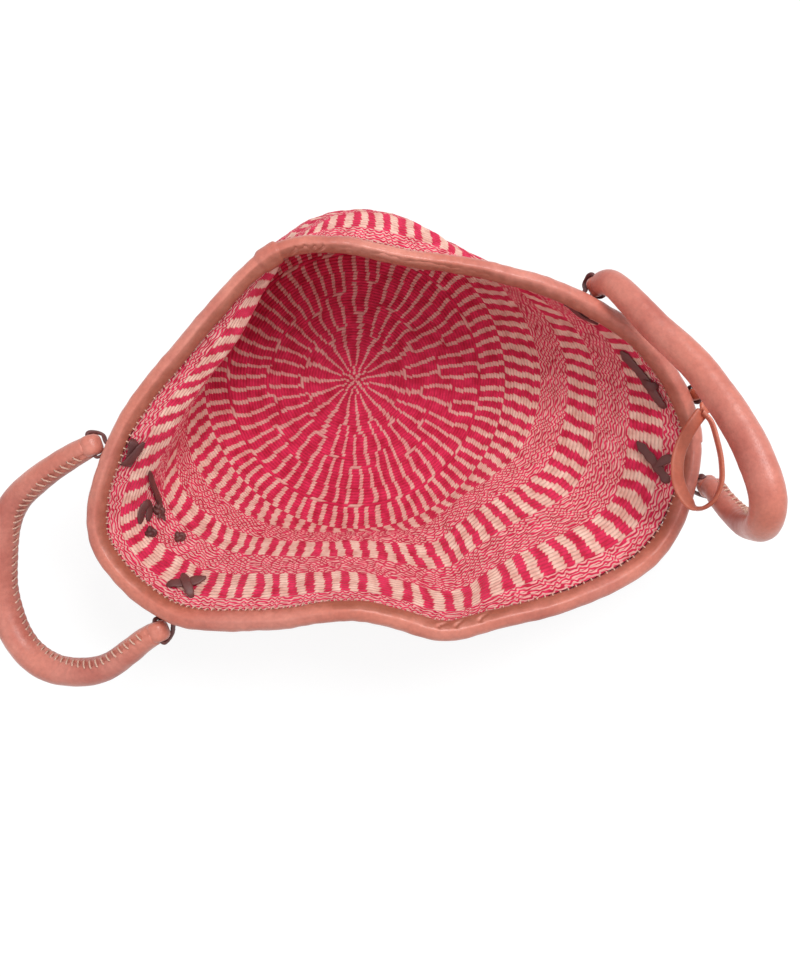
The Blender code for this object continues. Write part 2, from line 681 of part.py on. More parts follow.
def make_button(button_finish, thong_finish):
    """Domed button with a central bore, and the knotted thong that holds it to the wall."""
    place, _, _, outward = wall_frame(button_turn_share, button_row)
    base = wall + button_standoff
    profile = [(button_radius * wide, base + button_thickness * thick + button_dome * domed)
               for wide, thick, domed in button_shares]
    button = turned("closure_button", place, outward, profile, button_sides, button_finish)
    middle = place + outward * (base + button_thickness / 2)
    bore = cylinder("bore", middle, outward, thong_radius + clearance, button_cutter_length,
                    bore_sides, button_finish)
    combine(button, bore, "DIFFERENCE")
    top = profile[-1][1] + clearance
    inner = [(knot_radius * wide, -clearance - knot_radius * away) for wide, away in knot_shares]
    outer = [(knot_radius * wide, top + knot_radius * away) for wide, away in knot_shares]
    neck = knot_radius * knot_neck_share
    stem = [(thong_radius, -clearance - neck), (thong_radius, top + neck)]
    turned("button_thong", place, outward, inner + stem + outer[::-1], knot_sides, thong_finish)
    hang_on(bpy.data.objects.new("closure_button_hinge", None), middle, (button,))


def cut_wall_holes(body, places, finish):
    """Holes for the thongs, square to the wall."""
    cutters = []
    for turn, row in places:
        place, _, _, outward = wall_frame(turn, row)
        middle = place + outward * wall / 2
        cutters.append(cylinder("hole", middle, outward, thong_radius + hole_room, wall_cutter_length,
                                bore_sides, finish))
    combine(body, join_helpers("wall_holes", cutters), "DIFFERENCE")


def build():
    for thing in list(bpy.data.objects):
        bpy.data.objects.remove(thing)
    weave, tan, dark, rope, thread, wood = (material(*finish) for finish in finish_list)

    body = make_woven_body(weave)
    make_rim(tan, rope, thread)
    holes = []
    bar_half = knuckle_length / 2 + thong_radius + staple_room
    for side, turns, shares, reach, tilt in (
            ("left", left_handle_turn_shares, left_handle_shares, left_handle_reach, left_handle_tilt),
            ("right", right_handle_turn_shares, right_handle_shares, right_handle_reach, right_handle_tilt)):
        start, end = make_handle(side, turns, shares, reach, tilt, (tan, rope, thread))
        for which, turn, point in (("upper", turns[0], start), ("lower", turns[1], end)):
            name = side + "_" + which + "_lashing"
            holes += make_lashing(name, turn, point, unit(end - start), bar_half,
                                  hole_half_spacing, knuckle_radius, dark)
    point, axis = make_closure_loop(tan)
    loop_bar_half = strap_width / 2 + thong_radius + staple_room
    holes += make_lashing("closure_loop_lashing", loop_hinge_turn_share, point, axis,
                          loop_bar_half, loop_hole_half_spacing, loop_knuckle_radius, dark)
    make_button(wood, dark)
    holes.append((button_turn_share, button_row))
    cut_wall_holes(body, holes, weave)


build()
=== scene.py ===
# %% [markdown]
# # A kiondo basket, dressed
# A kiondo is a soft bag twined from sisal. Its weave starts at the middle of the base and
# goes round and round, row on row, up to a rim that is bound in leather. This lesson takes
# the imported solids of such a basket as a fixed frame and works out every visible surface
# with numpy: the rows of the weave, the rolled leather, the seams, the thongs and the button.

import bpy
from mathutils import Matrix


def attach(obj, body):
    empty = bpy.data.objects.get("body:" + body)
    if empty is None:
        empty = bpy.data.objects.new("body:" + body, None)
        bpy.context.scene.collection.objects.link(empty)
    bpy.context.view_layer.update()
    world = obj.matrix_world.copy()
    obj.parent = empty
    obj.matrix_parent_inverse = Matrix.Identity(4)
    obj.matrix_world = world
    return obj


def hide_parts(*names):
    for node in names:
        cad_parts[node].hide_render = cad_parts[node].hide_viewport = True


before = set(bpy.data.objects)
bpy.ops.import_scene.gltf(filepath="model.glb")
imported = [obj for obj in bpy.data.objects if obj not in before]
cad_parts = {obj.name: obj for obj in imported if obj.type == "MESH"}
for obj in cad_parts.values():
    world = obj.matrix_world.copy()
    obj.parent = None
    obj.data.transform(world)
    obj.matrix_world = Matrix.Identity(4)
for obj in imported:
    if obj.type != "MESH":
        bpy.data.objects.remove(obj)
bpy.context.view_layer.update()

# %% [markdown]
# ## Three small helpers
# Colours are picked as sRGB hex values, as on a paint card, but a renderer mixes light in
# linear values, so one function converts them. A second one adds a node and links it, and a
# third one turns a grid of places into a mesh with a UV map.

# %% Colour, node and mesh helpers
import math

import bmesh
import bpy
import numpy as np
from mathutils import Vector


def linear(code):
    """Linear RGBA of an sRGB hex colour: low values over 12.92, others by the 2.4 power."""
    share = np.array([int(code[i:i + 2], 16) / 255 for i in (0, 2, 4)])
    value = np.where(share <= 0.04045, share / 12.92, ((share + 0.055) / 1.055) ** 2.4)
    return (*value.tolist(), 1.0)


def add(tree, kind, inputs=(), **settings):
    """Add one shader node, set its settings, and link or fill its inputs by place or name."""
    node = tree.nodes.new("ShaderNode" + kind)
    for name, value in settings.items():
        setattr(node, name, value)
    pairs = inputs.items() if isinstance(inputs, dict) else enumerate(inputs)
    for place, value in pairs:
        if isinstance(value, bpy.types.Node):
            tree.links.new(value.outputs[0], node.inputs[place])
        elif isinstance(value, bpy.types.NodeSocket):
            tree.links.new(value, node.inputs[place])
        elif value is not None:
            node.inputs[place].default_value = value
    return node


def new_material(name):
    """Empty node material, with its Principled shader and its tree."""
    material = bpy.data.materials.new(name)
    material.use_nodes = True
    return material, material.node_tree, material.node_tree.nodes["Principled BSDF"]


def surface(name, places, across, along, finish, wrap_rows=False, wrap_columns=False, sharp_rows=()):
    """Mesh over one or many grids of places, rows by columns by 3, with UV = (across, along).

    Each face joins four neighbours of a grid. A wrapped side joins its last line to its
    first, and then its UV list has one value more than the grid. Grid lines that meet in
    one point are welded, which closes poles and ends, and faces are turned outward.
    """
    grids = places.reshape(-1, *places.shape[-3:])
    count, rows, columns, _ = grids.shape
    k, i, j = np.meshgrid(np.arange(count), np.arange(rows - (not wrap_rows)),
                          np.arange(columns - (not wrap_columns)), indexing="ij")
    k, i, j = k.ravel()[:, None], i.ravel()[:, None], j.ravel()[:, None]
    corner_i, corner_j = i + [0, 0, 1, 1], j + [0, 1, 1, 0]
    corners = (k * rows + corner_i % rows) * columns + corner_j % columns
    mesh = bpy.data.meshes.new(name)
    mesh.from_pydata(grids.reshape(-1, 3), [], corners, shade_flat=False)
    layer = mesh.uv_layers.new(name="surface")
    flat = np.stack([np.asarray(across)[corner_j], np.asarray(along)[corner_i]], -1)
    layer.uv.foreach_set("vector", flat.astype(np.float32).ravel())
    ends = np.empty(2 * len(mesh.edges), np.int32)
    mesh.edges.foreach_get("vertices", ends)
    line = ends.reshape(-1, 2) // columns
    sharp = (line[:, 0] == line[:, 1]) & np.isin(line[:, 0] % rows, sharp_rows)
    mesh.attributes.new("sharp_edge", "BOOLEAN", "EDGE").data.foreach_set("value", sharp)
    shape = bmesh.new()
    shape.from_mesh(mesh)
    bmesh.ops.remove_doubles(shape, verts=shape.verts, dist=1e-7)
    bmesh.ops.recalc_face_normals(shape, faces=shape.faces)
    shape.to_mesh(mesh)
    shape.free()
    mesh.materials.append(finish)
    thing = bpy.data.objects.new(name, mesh)
    bpy.context.scene.collection.objects.link(thing)
    return thing


def merge(name, things):
    """One object from several, for a piece that is made of many like parts."""
    shape = bmesh.new()
    for thing in things:
        shape.from_mesh(thing.data)
    mesh = bpy.data.meshes.new(name)
    shape.to_mesh(mesh)
    shape.free()
    for material in things[0].data.materials:
        mesh.materials.append(material)
    for thing in things:
        bpy.data.objects.remove(thing)
    piece = bpy.data.objects.new(name, mesh)
    bpy.context.scene.collection.objects.link(piece)
    return piece


def finish_piece(piece, body, slot, *nodes):
    """Let a piece move with a body and stand for CAD nodes; the slot is not used."""
    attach(piece, body)
    if nodes:
        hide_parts(*nodes)
    piece.data.calc_loop_triangles()
    print(piece.name, "on", body, "with", len(piece.data.loop_triangles), "triangles")


# %% [markdown]
# ## Camera, floor and light
# The photograph looks straight down into the basket from about 65 cm, so the camera does
# too. The backdrop is a white floor that still takes a soft shadow: part of its white is
# only there for camera rays, so no extra light falls on the basket.

# %% Camera
camera_place = (0.0324, -0.0781, 0.6532)
camera_lens = 40.635
sensor_width = 36.0

camera = bpy.data.objects.new("camera", bpy.data.cameras.new("camera"))
camera.location = camera_place
camera.data.sensor_fit = "HORIZONTAL"
camera.data.sensor_width = sensor_width
camera.data.lens = camera_lens
bpy.context.scene.collection.objects.link(camera)
bpy.context.scene.camera = camera
bpy.context.scene.view_settings.view_transform = "Standard"
print("camera looks straight down from", camera_place[2], "m")

# %% Floor that stays white for the camera but keeps the shadow
floor_half = 2.0
floor_paint = 0.26
floor_glow = 0.80

paper, tree, shader = new_material("matt_white_paper")
shader.inputs["Base Color"].default_value = (floor_paint, floor_paint, floor_paint, 1.0)
shader.inputs["Roughness"].default_value = 1.0
shader.inputs["Specular IOR Level"].default_value = 0.0
shader.inputs["Emission Color"].default_value = linear("FFFFFF")
rays = add(tree, "LightPath")
seen = add(tree, "Math", (rays.outputs["Is Camera Ray"], rays.outputs["Is Glossy Ray"]), operation="MAXIMUM")
seen = add(tree, "Math", (seen, rays.outputs["Is Transmission Ray"]), operation="MAXIMUM")
glow = add(tree, "Math", (seen, floor_glow), operation="MULTIPLY")
tree.links.new(glow.outputs[0], shader.inputs["Emission Strength"])
corners = np.array([[[-1, -1, 0], [1, -1, 0]], [[-1, 1, 0], [1, 1, 0]]], float) * floor_half
floor = surface("floor", corners, (0, 1), (0, 1), paper)
print("floor is", 2 * floor_half, "m wide")

# %% Soft light from above, a little stronger from the back
world_strength = 0.68
key_place = (0.50, 0.62, 1.30)
key_power = 14.0
key_size = 0.8
fill_place = (-0.7, -0.5, 1.5)
fill_power = 3.0
fill_size = 1.2

world = bpy.data.worlds.new("soft_white_room")
bpy.context.scene.world = world
world.use_nodes = True
tree = world.node_tree
tree.nodes.clear()
rays = add(tree, "LightPath")
strength = add(tree, "MapRange", (rays.outputs["Is Camera Ray"], 0.0, 1.0, world_strength, 1.0))
back = add(tree, "Background", (linear("FFFFFF"), strength))
add(tree, "OutputWorld", (back,))
for name, place, power, size in (("key", key_place, key_power, key_size),
                                 ("fill", fill_place, fill_power, fill_size)):
    lamp = bpy.data.lights.new(name, "AREA")
    lamp.shape = "DISK"
    lamp.size = size
    lamp.energy = power
    holder = bpy.data.objects.new(name, lamp)
    holder.location = place
    holder.rotation_euler = (Vector((0.03, -0.04, 0.05)) - Vector(place)).to_track_quat("-Z", "Y").to_euler()
    bpy.context.scene.collection.objects.link(holder)
print("lights:", key_power, "and", fill_power, "W")

# %% [markdown]
# ## The form of the wall
# A woven basket has no corners to measure from. Its form is a function of two numbers: the
# turn round the centre, from 0 to 1, and the row, counted outward from the middle of the
# base. The base is flat, then the wall rises to a line where it folds, and from there its lip
# leans out to the rim. Both lines are smooth closed curves through sixteen stations, and the
# rows between them are cubics, which is how a soft wall bends when nothing holds it.

# %% Values of the wall
row_pitch = 0.002066
floor_radius = 0.106
foot_lift = 0.0065
rim_reach = 0.150
rim_height = 0.120
belly_reach = 0.010
crease_reach = 0.006
wall = 0.0032
clearance = 0.0003
flat_rows = 38.0
floor_rows = 52.5
fold_rows = 92.5
rim_rows = 109.0
rings = 80
rim_shares = (
    (1.47, -0.32, 0.55), (1.27, 0.05, 0.65), (0.92, 0.25, 0.80), (0.56, 0.34, 0.90),
    (0.25, 0.38, 0.96), (-0.04, 0.43, 0.98), (-0.31, 0.37, 0.97), (-0.645, 0.03, 0.92),
    (-0.91, -0.32, 0.88), (-1.02, -0.72, 0.77), (-0.73, -1.01, 0.82), (-0.34, -1.04, 0.92),
    (0.02, -0.99, 1.00), (0.38, -1.04, 0.93), (0.86, -0.98, 0.85), (1.30, -0.76, 0.67))
fold_shares = (
    (1.23, -0.20, 0.38), (1.15, 0.09, 0.46), (0.86, 0.30, 0.57), (0.56, 0.40, 0.67),
    (0.25, 0.56, 0.78), (-0.03, 0.58, 0.79), (-0.26, 0.42, 0.77), (-0.46, 0.10, 0.71),
    (-0.68, -0.22, 0.73), (-0.87, -0.63, 0.58), (-0.63, -0.85, 0.63), (-0.32, -0.87, 0.71),
    (0.02, -0.86, 0.75), (0.41, -0.91, 0.67), (0.76, -0.77, 0.62), (1.13, -0.58, 0.46))
belly_shares = (
    0.0, 0.0, 0.2, 0.3, 0.3, 0.2, -0.2, 0.0, 0.4, 0.2, -0.1, -0.4, -0.8, -1.0, -1.2, -0.6)
belly_peak_share = 0.4
lip_share = 1.3
lip_rows = 5.0
crease_turn_share = 0.815
crease_width_share = 0.022
rim_even_share = 0.012
up_axis = np.array([0.0, 0.0, 1.0])


# %% The wall as a function of turn and row
def unit(vectors):
    """Vectors divided by their lengths."""
    return vectors / np.linalg.norm(vectors, axis=-1, keepdims=True)


def around(shares, turn):
    """Closed curve through even stations: the Catmull-Rom cubic between each pair."""
    table = np.asarray(shares, float)
    table = table[:, None] if table.ndim == 1 else table
    count = len(table)
    place = np.asarray(turn, float) * count
    first = np.floor(place).astype(int)
    t = (place - first)[..., None]
    before, here, after, beyond = (table[(first + k) % count] for k in (-1, 0, 1, 2))
    return 0.5 * (2 * here + (after - before) * t
                  + (2 * before - 5 * here + 4 * after - beyond) * t ** 2
                  + (3 * here - before - 3 * after + beyond) * t ** 3)


def joined(t, start, leave, end, arrive):
    """Hermite cubic: from start to end, leaving and arriving with the given slopes."""
    return ((2 * t ** 3 - 3 * t ** 2 + 1) * start + (t ** 3 - 2 * t ** 2 + t) * leave
            + (3 * t ** 2 - 2 * t ** 3) * end + (t ** 3 - t ** 2) * arrive)


def inside_point(turn, row):
    """Inner face: flat disc, rounded foot, side with a belly, and lip, each one cubic in row."""
    turn, row = np.broadcast_arrays(np.asarray(turn, float), np.asarray(row, float))
    angle = 2 * np.pi * turn
    out = np.stack([np.cos(angle), np.sin(angle), np.zeros_like(angle)], -1)
    row = row[..., None]
    flat = out * flat_rows * row_pitch
    foot = out * floor_radius + up_axis * foot_lift
    size = np.array([rim_reach, rim_reach, rim_height])
    away = ((turn - crease_turn_share + 0.5) % 1 - 0.5) / crease_width_share
    crease = out * (crease_reach * np.exp(-away ** 2))[..., None]
    fold = around(fold_shares, turn) * size + crease
    rim = around(rim_shares, turn) * size + crease
    at_foot = (fold - flat) / (fold_rows - flat_rows)
    at_fold = (rim - foot) / (rim_rows - floor_rows)
    at_rim = lip_share * (rim - fold) / (rim_rows - fold_rows) + (1 - lip_share) * at_fold

    def stretch(low, high, start, leave, end, arrive):
        t = (row - low) / (high - low)
        return joined(t, start, leave * (high - low), end, arrive * (high - low))

    share = (row - floor_rows) / (fold_rows - floor_rows)
    peak = belly_peak_share ** 2 * (1 - belly_peak_share) ** 3
    belly = out * around(belly_shares, turn) * belly_reach * share ** 2 * (1 - share) ** 3 / peak
    floor = out * row * row_pitch
    corner = stretch(flat_rows, floor_rows, flat, out * row_pitch, foot, at_foot)
    side = stretch(floor_rows, fold_rows, foot, at_foot, fold, at_fold) + belly
    lip = stretch(fold_rows, rim_rows, fold, at_fold, rim, at_rim)
    place = np.where(row < floor_rows, corner, np.where(row < fold_rows, side, lip))
    return np.where(row < flat_rows, floor, place) + up_axis * wall


def wall_frame(turn, row):
    """Place on the inner face, and unit directions round, up the wall and outward."""
    turn, row = np.broadcast_arrays(np.asarray(turn, float), np.asarray(row, float))
    turn_step = 1 / (40 * rings)
    row_step = rim_rows / 4000
    along = unit(inside_point(turn + turn_step, row) - inside_point(turn - turn_step, row))
    up = unit(inside_point(turn, row + row_step) - inside_point(turn, row - row_step))
    return inside_point(turn, row), along, up, unit(np.cross(along, up))


def turn_for(length, turn, row):
    """Share of a turn that covers a length along a row."""
    step = 1 / (40 * rings)
    run = np.linalg.norm(inside_point(turn + step, row) - inside_point(turn - step, row))
    return length * 2 * step / run


def row_below_rim(turn, reach):
    """Row that lies a given reach down the wall from the centre of the rim."""
    run = np.linalg.norm(inside_point(turn, rim_rows) - inside_point(turn, rim_rows - lip_rows))
    return rim_rows - reach * lip_rows / run


def on_wall(turn, row, off):
    """Point at a distance off the inner face, outward positive."""
    place, _, _, outward = wall_frame(turn, row)
    return place + outward * off


def rim_centre(turn):
    """Centre of the rim roll and its directions, evened out over a short stretch."""
    place, along, _, _ = wall_frame(turn, rim_rows)
    steps = np.linspace(-rim_even_share, rim_even_share, 5)
    up = sum(wall_frame(turn + step, rim_rows)[2] for step in steps)
    up = unit(up - along * np.sum(up * along, axis=-1, keepdims=True))
    outward = np.cross(along, up)
    return place + outward * (wall / 2), along, up, outward


def waves(x, y, seed, octaves=4):
    """Smooth noise from -1 to 1 as a sum of sines with seeded directions and phases."""
    source = np.random.default_rng(seed)
    total = np.zeros(np.broadcast(x, y).shape)
    for octave in range(octaves):
        a, b, phase = source.uniform(-1, 1), source.uniform(-1, 1), source.uniform(0, 2 * np.pi)
        total = total + np.sin(2 * np.pi * (a * x + b * y) * (1 + octave) + phase) / (1 + octave)
    return total / 1.6


rim_length = np.linalg.norm(np.diff(rim_centre(np.linspace(0, 1, 721))[0], axis=0), axis=1).sum()
print("rim length", round(rim_length * 1000), "mm")

# %% [markdown]
# ## The weave as geometry
# Each row of twining is a round cord of sisal laid against the last one, so the surface is a
# row of ridges. A height map could only shade them, so here they are real: four grid lines
# to a row, lifted by the sine of the place inside the row. The sheet has an inner and an
# outer face 3 mm apart. It is cut at four rows into ring-shaped pieces, so that none gets
# too heavy, and each cut lies in the groove between two rows, where nobody sees it.

# %% Grid of the weave
columns = 432
lines_per_row = 4
relief = 0.00055
lump_height = 0.0005
lump_start_row = 45.0
weave_top_row = 106.6
cut_rows = (0.0, 28.0, 56.0, 82.0, weave_top_row)
weave_names = ("base_weave", "foot_weave", "belly_weave", "lip_weave")


def weave_points(turns, rows, outer):
    """Wall face, cut back by relief between the ridges, with slow small lumps in the wall."""
    turn, row = np.meshgrid(turns, rows)
    place, _, _, outward = wall_frame(turn, np.maximum(row, 0.02))
    groove = relief * (1 - np.abs(np.sin(np.pi * row)))
    lump = lump_height * waves(8 * np.cos(2 * np.pi * turn), row / 12 + 3 * np.sin(2 * np.pi * turn), 4)
    fade = np.clip((row - lump_start_row) / 10, 0, 1) * np.clip((weave_top_row - row) / 6, 0, 1)
    off = wall - groove if outer else groove
    return place + outward * (off + lump * fade)[..., None]


def weave_ring(name, low, high, finish):
    """Closed ring of weave: up the inner face, over the cut, down the outer face and back."""
    turns = np.arange(columns) / columns
    rows = np.linspace(low, high, int(round((high - low) * lines_per_row)) + 1)
    inner, outer = weave_points(turns, rows, False), weave_points(turns, rows, True)
    pole = low == 0
    if pole:
        inner[0], outer[0] = inner[0].mean(0), outer[0].mean(0)
    lines = len(rows)
    along = np.concatenate([rows, rows[::-1], rows[:1]]) / rim_rows
    return surface(name, np.concatenate([inner, outer[::-1]]), np.arange(columns + 1) / columns, along,
                   finish, wrap_rows=not pole, wrap_columns=True,
                   sharp_rows=(lines - 1, lines) if pole else (0, lines - 1, lines, 2 * lines - 1))


# %% [markdown]
# ## Twined sisal in two colours
# Two dyed cords, one crimson and one cream, twist round the warps together. Where every warp
# shows the same colour in each row, stripes run up the wall. Where the twist shifts by one
# warp a row, both cords show as wavy lines. A small table holds, for each band of rows, how
# many stripe pairs go round, how wide the cream is, how far the pattern is turned, and
# whether it is the wavy kind. The table is a colour ramp with constant steps, read by row.

# %% Bands of the pattern
pairs = 76
fork_sectors = 19
fork_reach_rows = 5.0
wave_stray = 3.0
cord_stray = 0.10
band_list = (
    (0.0, 4, 0.50, 0.0, 0.0),
    (1.6, 8, 0.46, 0.40, 0.0),
    (3.2, 13, 0.34, 0.20, 0.0),
    (5.0, 19, 0.27, 0.0, 0.0),
    (18.0, 19, 0.56, 0.0, 0.0),
    (18.9, 38, 0.26, 0.0, 0.0),
    (30.0, 19, 0.36, 0.25, 0.0),
    (30.9, 57, 0.30, 0.25, 0.0),
    (43.2, 19, 0.27, 0.0833, 0.0),
    (44.0, 76, 0.38, 0.3333, 0.0),
    (52.5, 76, 0.47, 0.8333, 0.0),
    (65.0, 76, 0.5, 0.0, 1.0),
    (74.0, 76, 0.5, 0.3333, 0.0),
    (83.0, 76, 0.5, 0.0, 1.0),
    (92.5, 76, 0.5, 0.3333, 0.0),
    (102.0, 76, 0.5, 0.0, 1.0))


def weave_material():
    """Sisal, dyed and twined: matt, hairy, with painted shade in the grooves between the stitches and a faint
    painted highlight on the ridges.
    """
    material, tree, shader = new_material("twined_sisal")
    uv = add(tree, "SeparateXYZ", (add(tree, "UVMap", uv_map="surface"),))
    turn = uv.outputs[0]
    level = uv.outputs[1]
    row = add(tree, "Math", (level, rim_rows), operation="MULTIPLY")
    index = add(tree, "Math", (row,), operation="FLOOR")
    inside = add(tree, "Math", (row,), operation="FRACT")
    chance = add(tree, "TexWhiteNoise", {"W": index}, noise_dimensions="1D")
    middle = add(tree, "Math", (index, 0.5), operation="ADD")
    middle = add(tree, "Math", (middle, 1 / rim_rows), operation="MULTIPLY")

    # in the base each of 19 sectors forks its lines at a row of its own
    sector = add(tree, "Math", (turn, float(fork_sectors)), operation="MULTIPLY")
    sector = add(tree, "Math", (sector,), operation="FLOOR")
    sector = add(tree, "TexWhiteNoise", {"W": sector}, noise_dimensions="1D").outputs["Value"]
    fork = add(tree, "MapRange", (sector, 0.0, 1.0, -fork_reach_rows, fork_reach_rows))
    rising = add(tree, "MapRange", (row, 9.0, 17.0, 0.0, 1.0))
    falling = add(tree, "MapRange", (row, 33.0, 42.0, 1.0, 0.0))
    fork = add(tree, "Math", (fork, rising), operation="MULTIPLY")
    fork = add(tree, "Math", (fork, falling), operation="MULTIPLY")
    middle = add(tree, "Math", (fork, 1 / rim_rows, middle), operation="MULTIPLY_ADD")

    # band table: red = pairs / 76, green = cream share, blue = turn of the pattern, alpha = wavy
    table = add(tree, "ValToRGB", (middle,))
    ramp = table.color_ramp
    ramp.interpolation = "CONSTANT"
    while len(ramp.elements) < len(band_list):
        ramp.elements.new(1.0)
    for element, (first, count, cream, phase, wavy) in zip(ramp.elements, band_list):
        element.position = first / rim_rows
        element.color = (count / pairs, cream, phase, wavy)
    band = add(tree, "SeparateColor", (table,))

    # a slow wobble of the lines, as by hand, in shares of a stripe pair
    place = add(tree, "TexCoord").outputs["Object"]
    wobble = add(tree, "TexNoise", {"Vector": place, "Scale": 38.0, "Detail": 1.0})
    wobble = add(tree, "MapRange", (wobble, 0.3, 0.7, -0.16, 0.16))
    jitter = add(tree, "MapRange", (chance.outputs["Value"], 0.0, 1.0, -0.07, 0.07))
    lean = add(tree, "MapRange", (inside, 0.0, 1.0, -0.055, 0.055))
    shift = add(tree, "Math", (wobble, jitter), operation="ADD")
    shift = add(tree, "Math", (shift, lean), operation="ADD")

    # stripes
    round_share = add(tree, "Math", (turn, float(pairs)), operation="MULTIPLY")
    stripe = add(tree, "Math", (round_share, band.outputs[0], band.outputs[2]), operation="MULTIPLY_ADD")
    stripe = add(tree, "Math", (stripe, shift), operation="ADD")
    stripe = add(tree, "Math", (stripe,), operation="FRACT")
    stripe = add(tree, "Math", (stripe, 0.5), operation="SUBTRACT")
    stripe = add(tree, "Math", (stripe,), operation="ABSOLUTE")
    half_cream = add(tree, "Math", (band.outputs[1], 0.5), operation="MULTIPLY")
    edge = add(tree, "Math", (stripe, half_cream), operation="SUBTRACT")
    striped = add(tree, "MapRange", (edge, -0.035, 0.035, 1.0, 0.0), interpolation_type="SMOOTHSTEP")

    # wavy rows: one cream cord and one crimson cord per row, winding round each other
    drift = add(tree, "Math", (index, 0.23), operation="MULTIPLY")
    drift = add(tree, "Math", (chance.outputs["Value"], 0.35, drift), operation="MULTIPLY_ADD")
    stray = add(tree, "TexNoise", {"Vector": place, "Scale": 90.0, "Detail": 1.0})
    drift = add(tree, "Math", (stray, wave_stray, drift), operation="MULTIPLY_ADD")
    swing = add(tree, "Math", (round_share, 2.0, drift), operation="MULTIPLY_ADD")
    swing = add(tree, "Math", (swing, 2 * math.pi), operation="MULTIPLY")
    swing = add(tree, "Math", (swing,), operation="SINE")
    sag = add(tree, "MapRange", (stray, 0.3, 0.7, -cord_stray, cord_stray))
    cord = add(tree, "Math", (swing, 0.28, inside), operation="MULTIPLY_ADD")
    cord = add(tree, "Math", (cord, sag), operation="ADD")
    cord = add(tree, "Math", (cord, 0.30), operation="ADD")
    cord = add(tree, "Math", (cord,), operation="FRACT")
    cord = add(tree, "Math", (cord, 0.5), operation="SUBTRACT")
    cord = add(tree, "Math", (cord,), operation="ABSOLUTE")
    waved = add(tree, "MapRange", (cord, 0.18, 0.30, 1.0, 0.0), interpolation_type="SMOOTHSTEP")
    cream_share = add(tree, "Mix", {0: table.outputs["Alpha"], 2: striped, 3: waved})

    # stitches: six to a stripe pair, set half a stitch over in every other row
    odd = add(tree, "Math", (index, 0.5), operation="MULTIPLY")
    stitch = add(tree, "Math", (round_share, band.outputs[0]), operation="MULTIPLY")
    stitch = add(tree, "Math", (stitch, 6.0, odd), operation="MULTIPLY_ADD")
    slant = add(tree, "Math", (inside, 0.45, stitch), operation="MULTIPLY_ADD")
    slant = add(tree, "Math", (slant, 0.0, 1.0), operation="PINGPONG")
    stitch_place = add(tree, "Math", (slant,), operation="FRACT")
    hump = add(tree, "MapRange", (stitch_place, 0.0, 0.5, 0.0, 1.0), interpolation_type="SMOOTHSTEP")
    hump_back = add(tree, "MapRange", (stitch_place, 0.5, 1.0, 1.0, 0.0), interpolation_type="SMOOTHSTEP")
    hump = add(tree, "Math", (hump, hump_back), operation="MULTIPLY")
    ridge = add(tree, "Math", (inside, math.pi), operation="MULTIPLY")
    ridge = add(tree, "Math", (ridge,), operation="SINE")
    ridge = add(tree, "Math", (ridge, 0.6), operation="POWER")
    cell = add(tree, "Math", (hump, 0.45, 0.55), operation="MULTIPLY_ADD")
    height = add(tree, "Math", (cell, ridge), operation="MULTIPLY")
    fibre = add(tree, "TexNoise", {"Vector": place, "Scale": 1400.0, "Detail": 2.0})
    height = add(tree, "Math", (fibre, 0.35, height), operation="MULTIPLY_ADD")

    # colours, with slow dye variation, painted shade in the grooves and a faint painted highlight on the ridges
    dye = add(tree, "TexNoise", {"Vector": place, "Scale": 160.0, "Detail": 3.0})
    dye = add(tree, "MapRange", (dye, 0.3, 0.7, 0.0, 1.0))
    crimson = add(tree, "Mix", {0: dye, 6: linear("BC143A"), 7: linear("E4305C")}, data_type="RGBA")
    cream = add(tree, "Mix", {0: dye, 6: linear("D99C8E"), 7: linear("F3CBBA")}, data_type="RGBA")
    # the cream turns darker and pinker towards the middle of the base
    darker_pinker_towards_base = add(tree, "MapRange", (row, 30.0, 62.0, 0.42, 0.0))
    cream = add(tree, "Mix", {0: darker_pinker_towards_base, 6: cream.outputs[2], 7: linear("D4687A")}, data_type="RGBA")
    blush = add(tree, "Math", (table.outputs["Alpha"], 0.45), operation="MULTIPLY")
    cream = add(tree, "Mix", {0: blush, 6: cream.outputs[2], 7: linear("EE9AA0")}, data_type="RGBA")
    colour = add(tree, "Mix", {0: cream_share, 6: crimson.outputs[2], 7: cream.outputs[2]}, data_type="RGBA")
    # painted shade: the colour is multiplied by 0.66 in the grooves between rows and stitches, and by up to 1.06 on
    # the ridges as a painted highlight
    groove = add(tree, "MapRange", (height, 0.05, 0.85, 0.66, 1.06))
    shade = add(tree, "Mix", {0: 1.0, 6: colour.outputs[2], 7: groove}, data_type="RGBA", blend_type="MULTIPLY")
    bump = add(tree, "Bump", {"Height": height, "Strength": 0.7, "Distance": 0.0006})
    tree.links.new(shade.outputs[2], shader.inputs["Base Color"])
    tree.links.new(bump.outputs[0], shader.inputs["Normal"])
    shader.inputs["Roughness"].default_value = 0.85
    shader.inputs["Specular IOR Level"].default_value = 0.25
    shader.inputs["Sheen Weight"].default_value = 0.15
    return material


sisal = weave_material()
for name, low, high in zip(weave_names, cut_rows, cut_rows[1:]):
    ring = weave_ring(name, low, high, sisal)
    finish_piece(ring, "basket", "woven_sisal", *(["woven_body"] if low == 0 else []))

# %% [markdown]
# ## Vegetable-tanned leather
# Goat or cow hide, tanned with bark, dyed a warm tan and rubbed with a little wax. The eye
# gets a soft gloss, fine pores, creases where it bends, and a colour that is never quite
# even. The pores are 0.9 mm apart, coarser than real ones, so that they show.

# %% Leather in patchy tones, with painted shade on the inner side of the rim roll
rim_middle = (0.03, -0.06, 0.0)


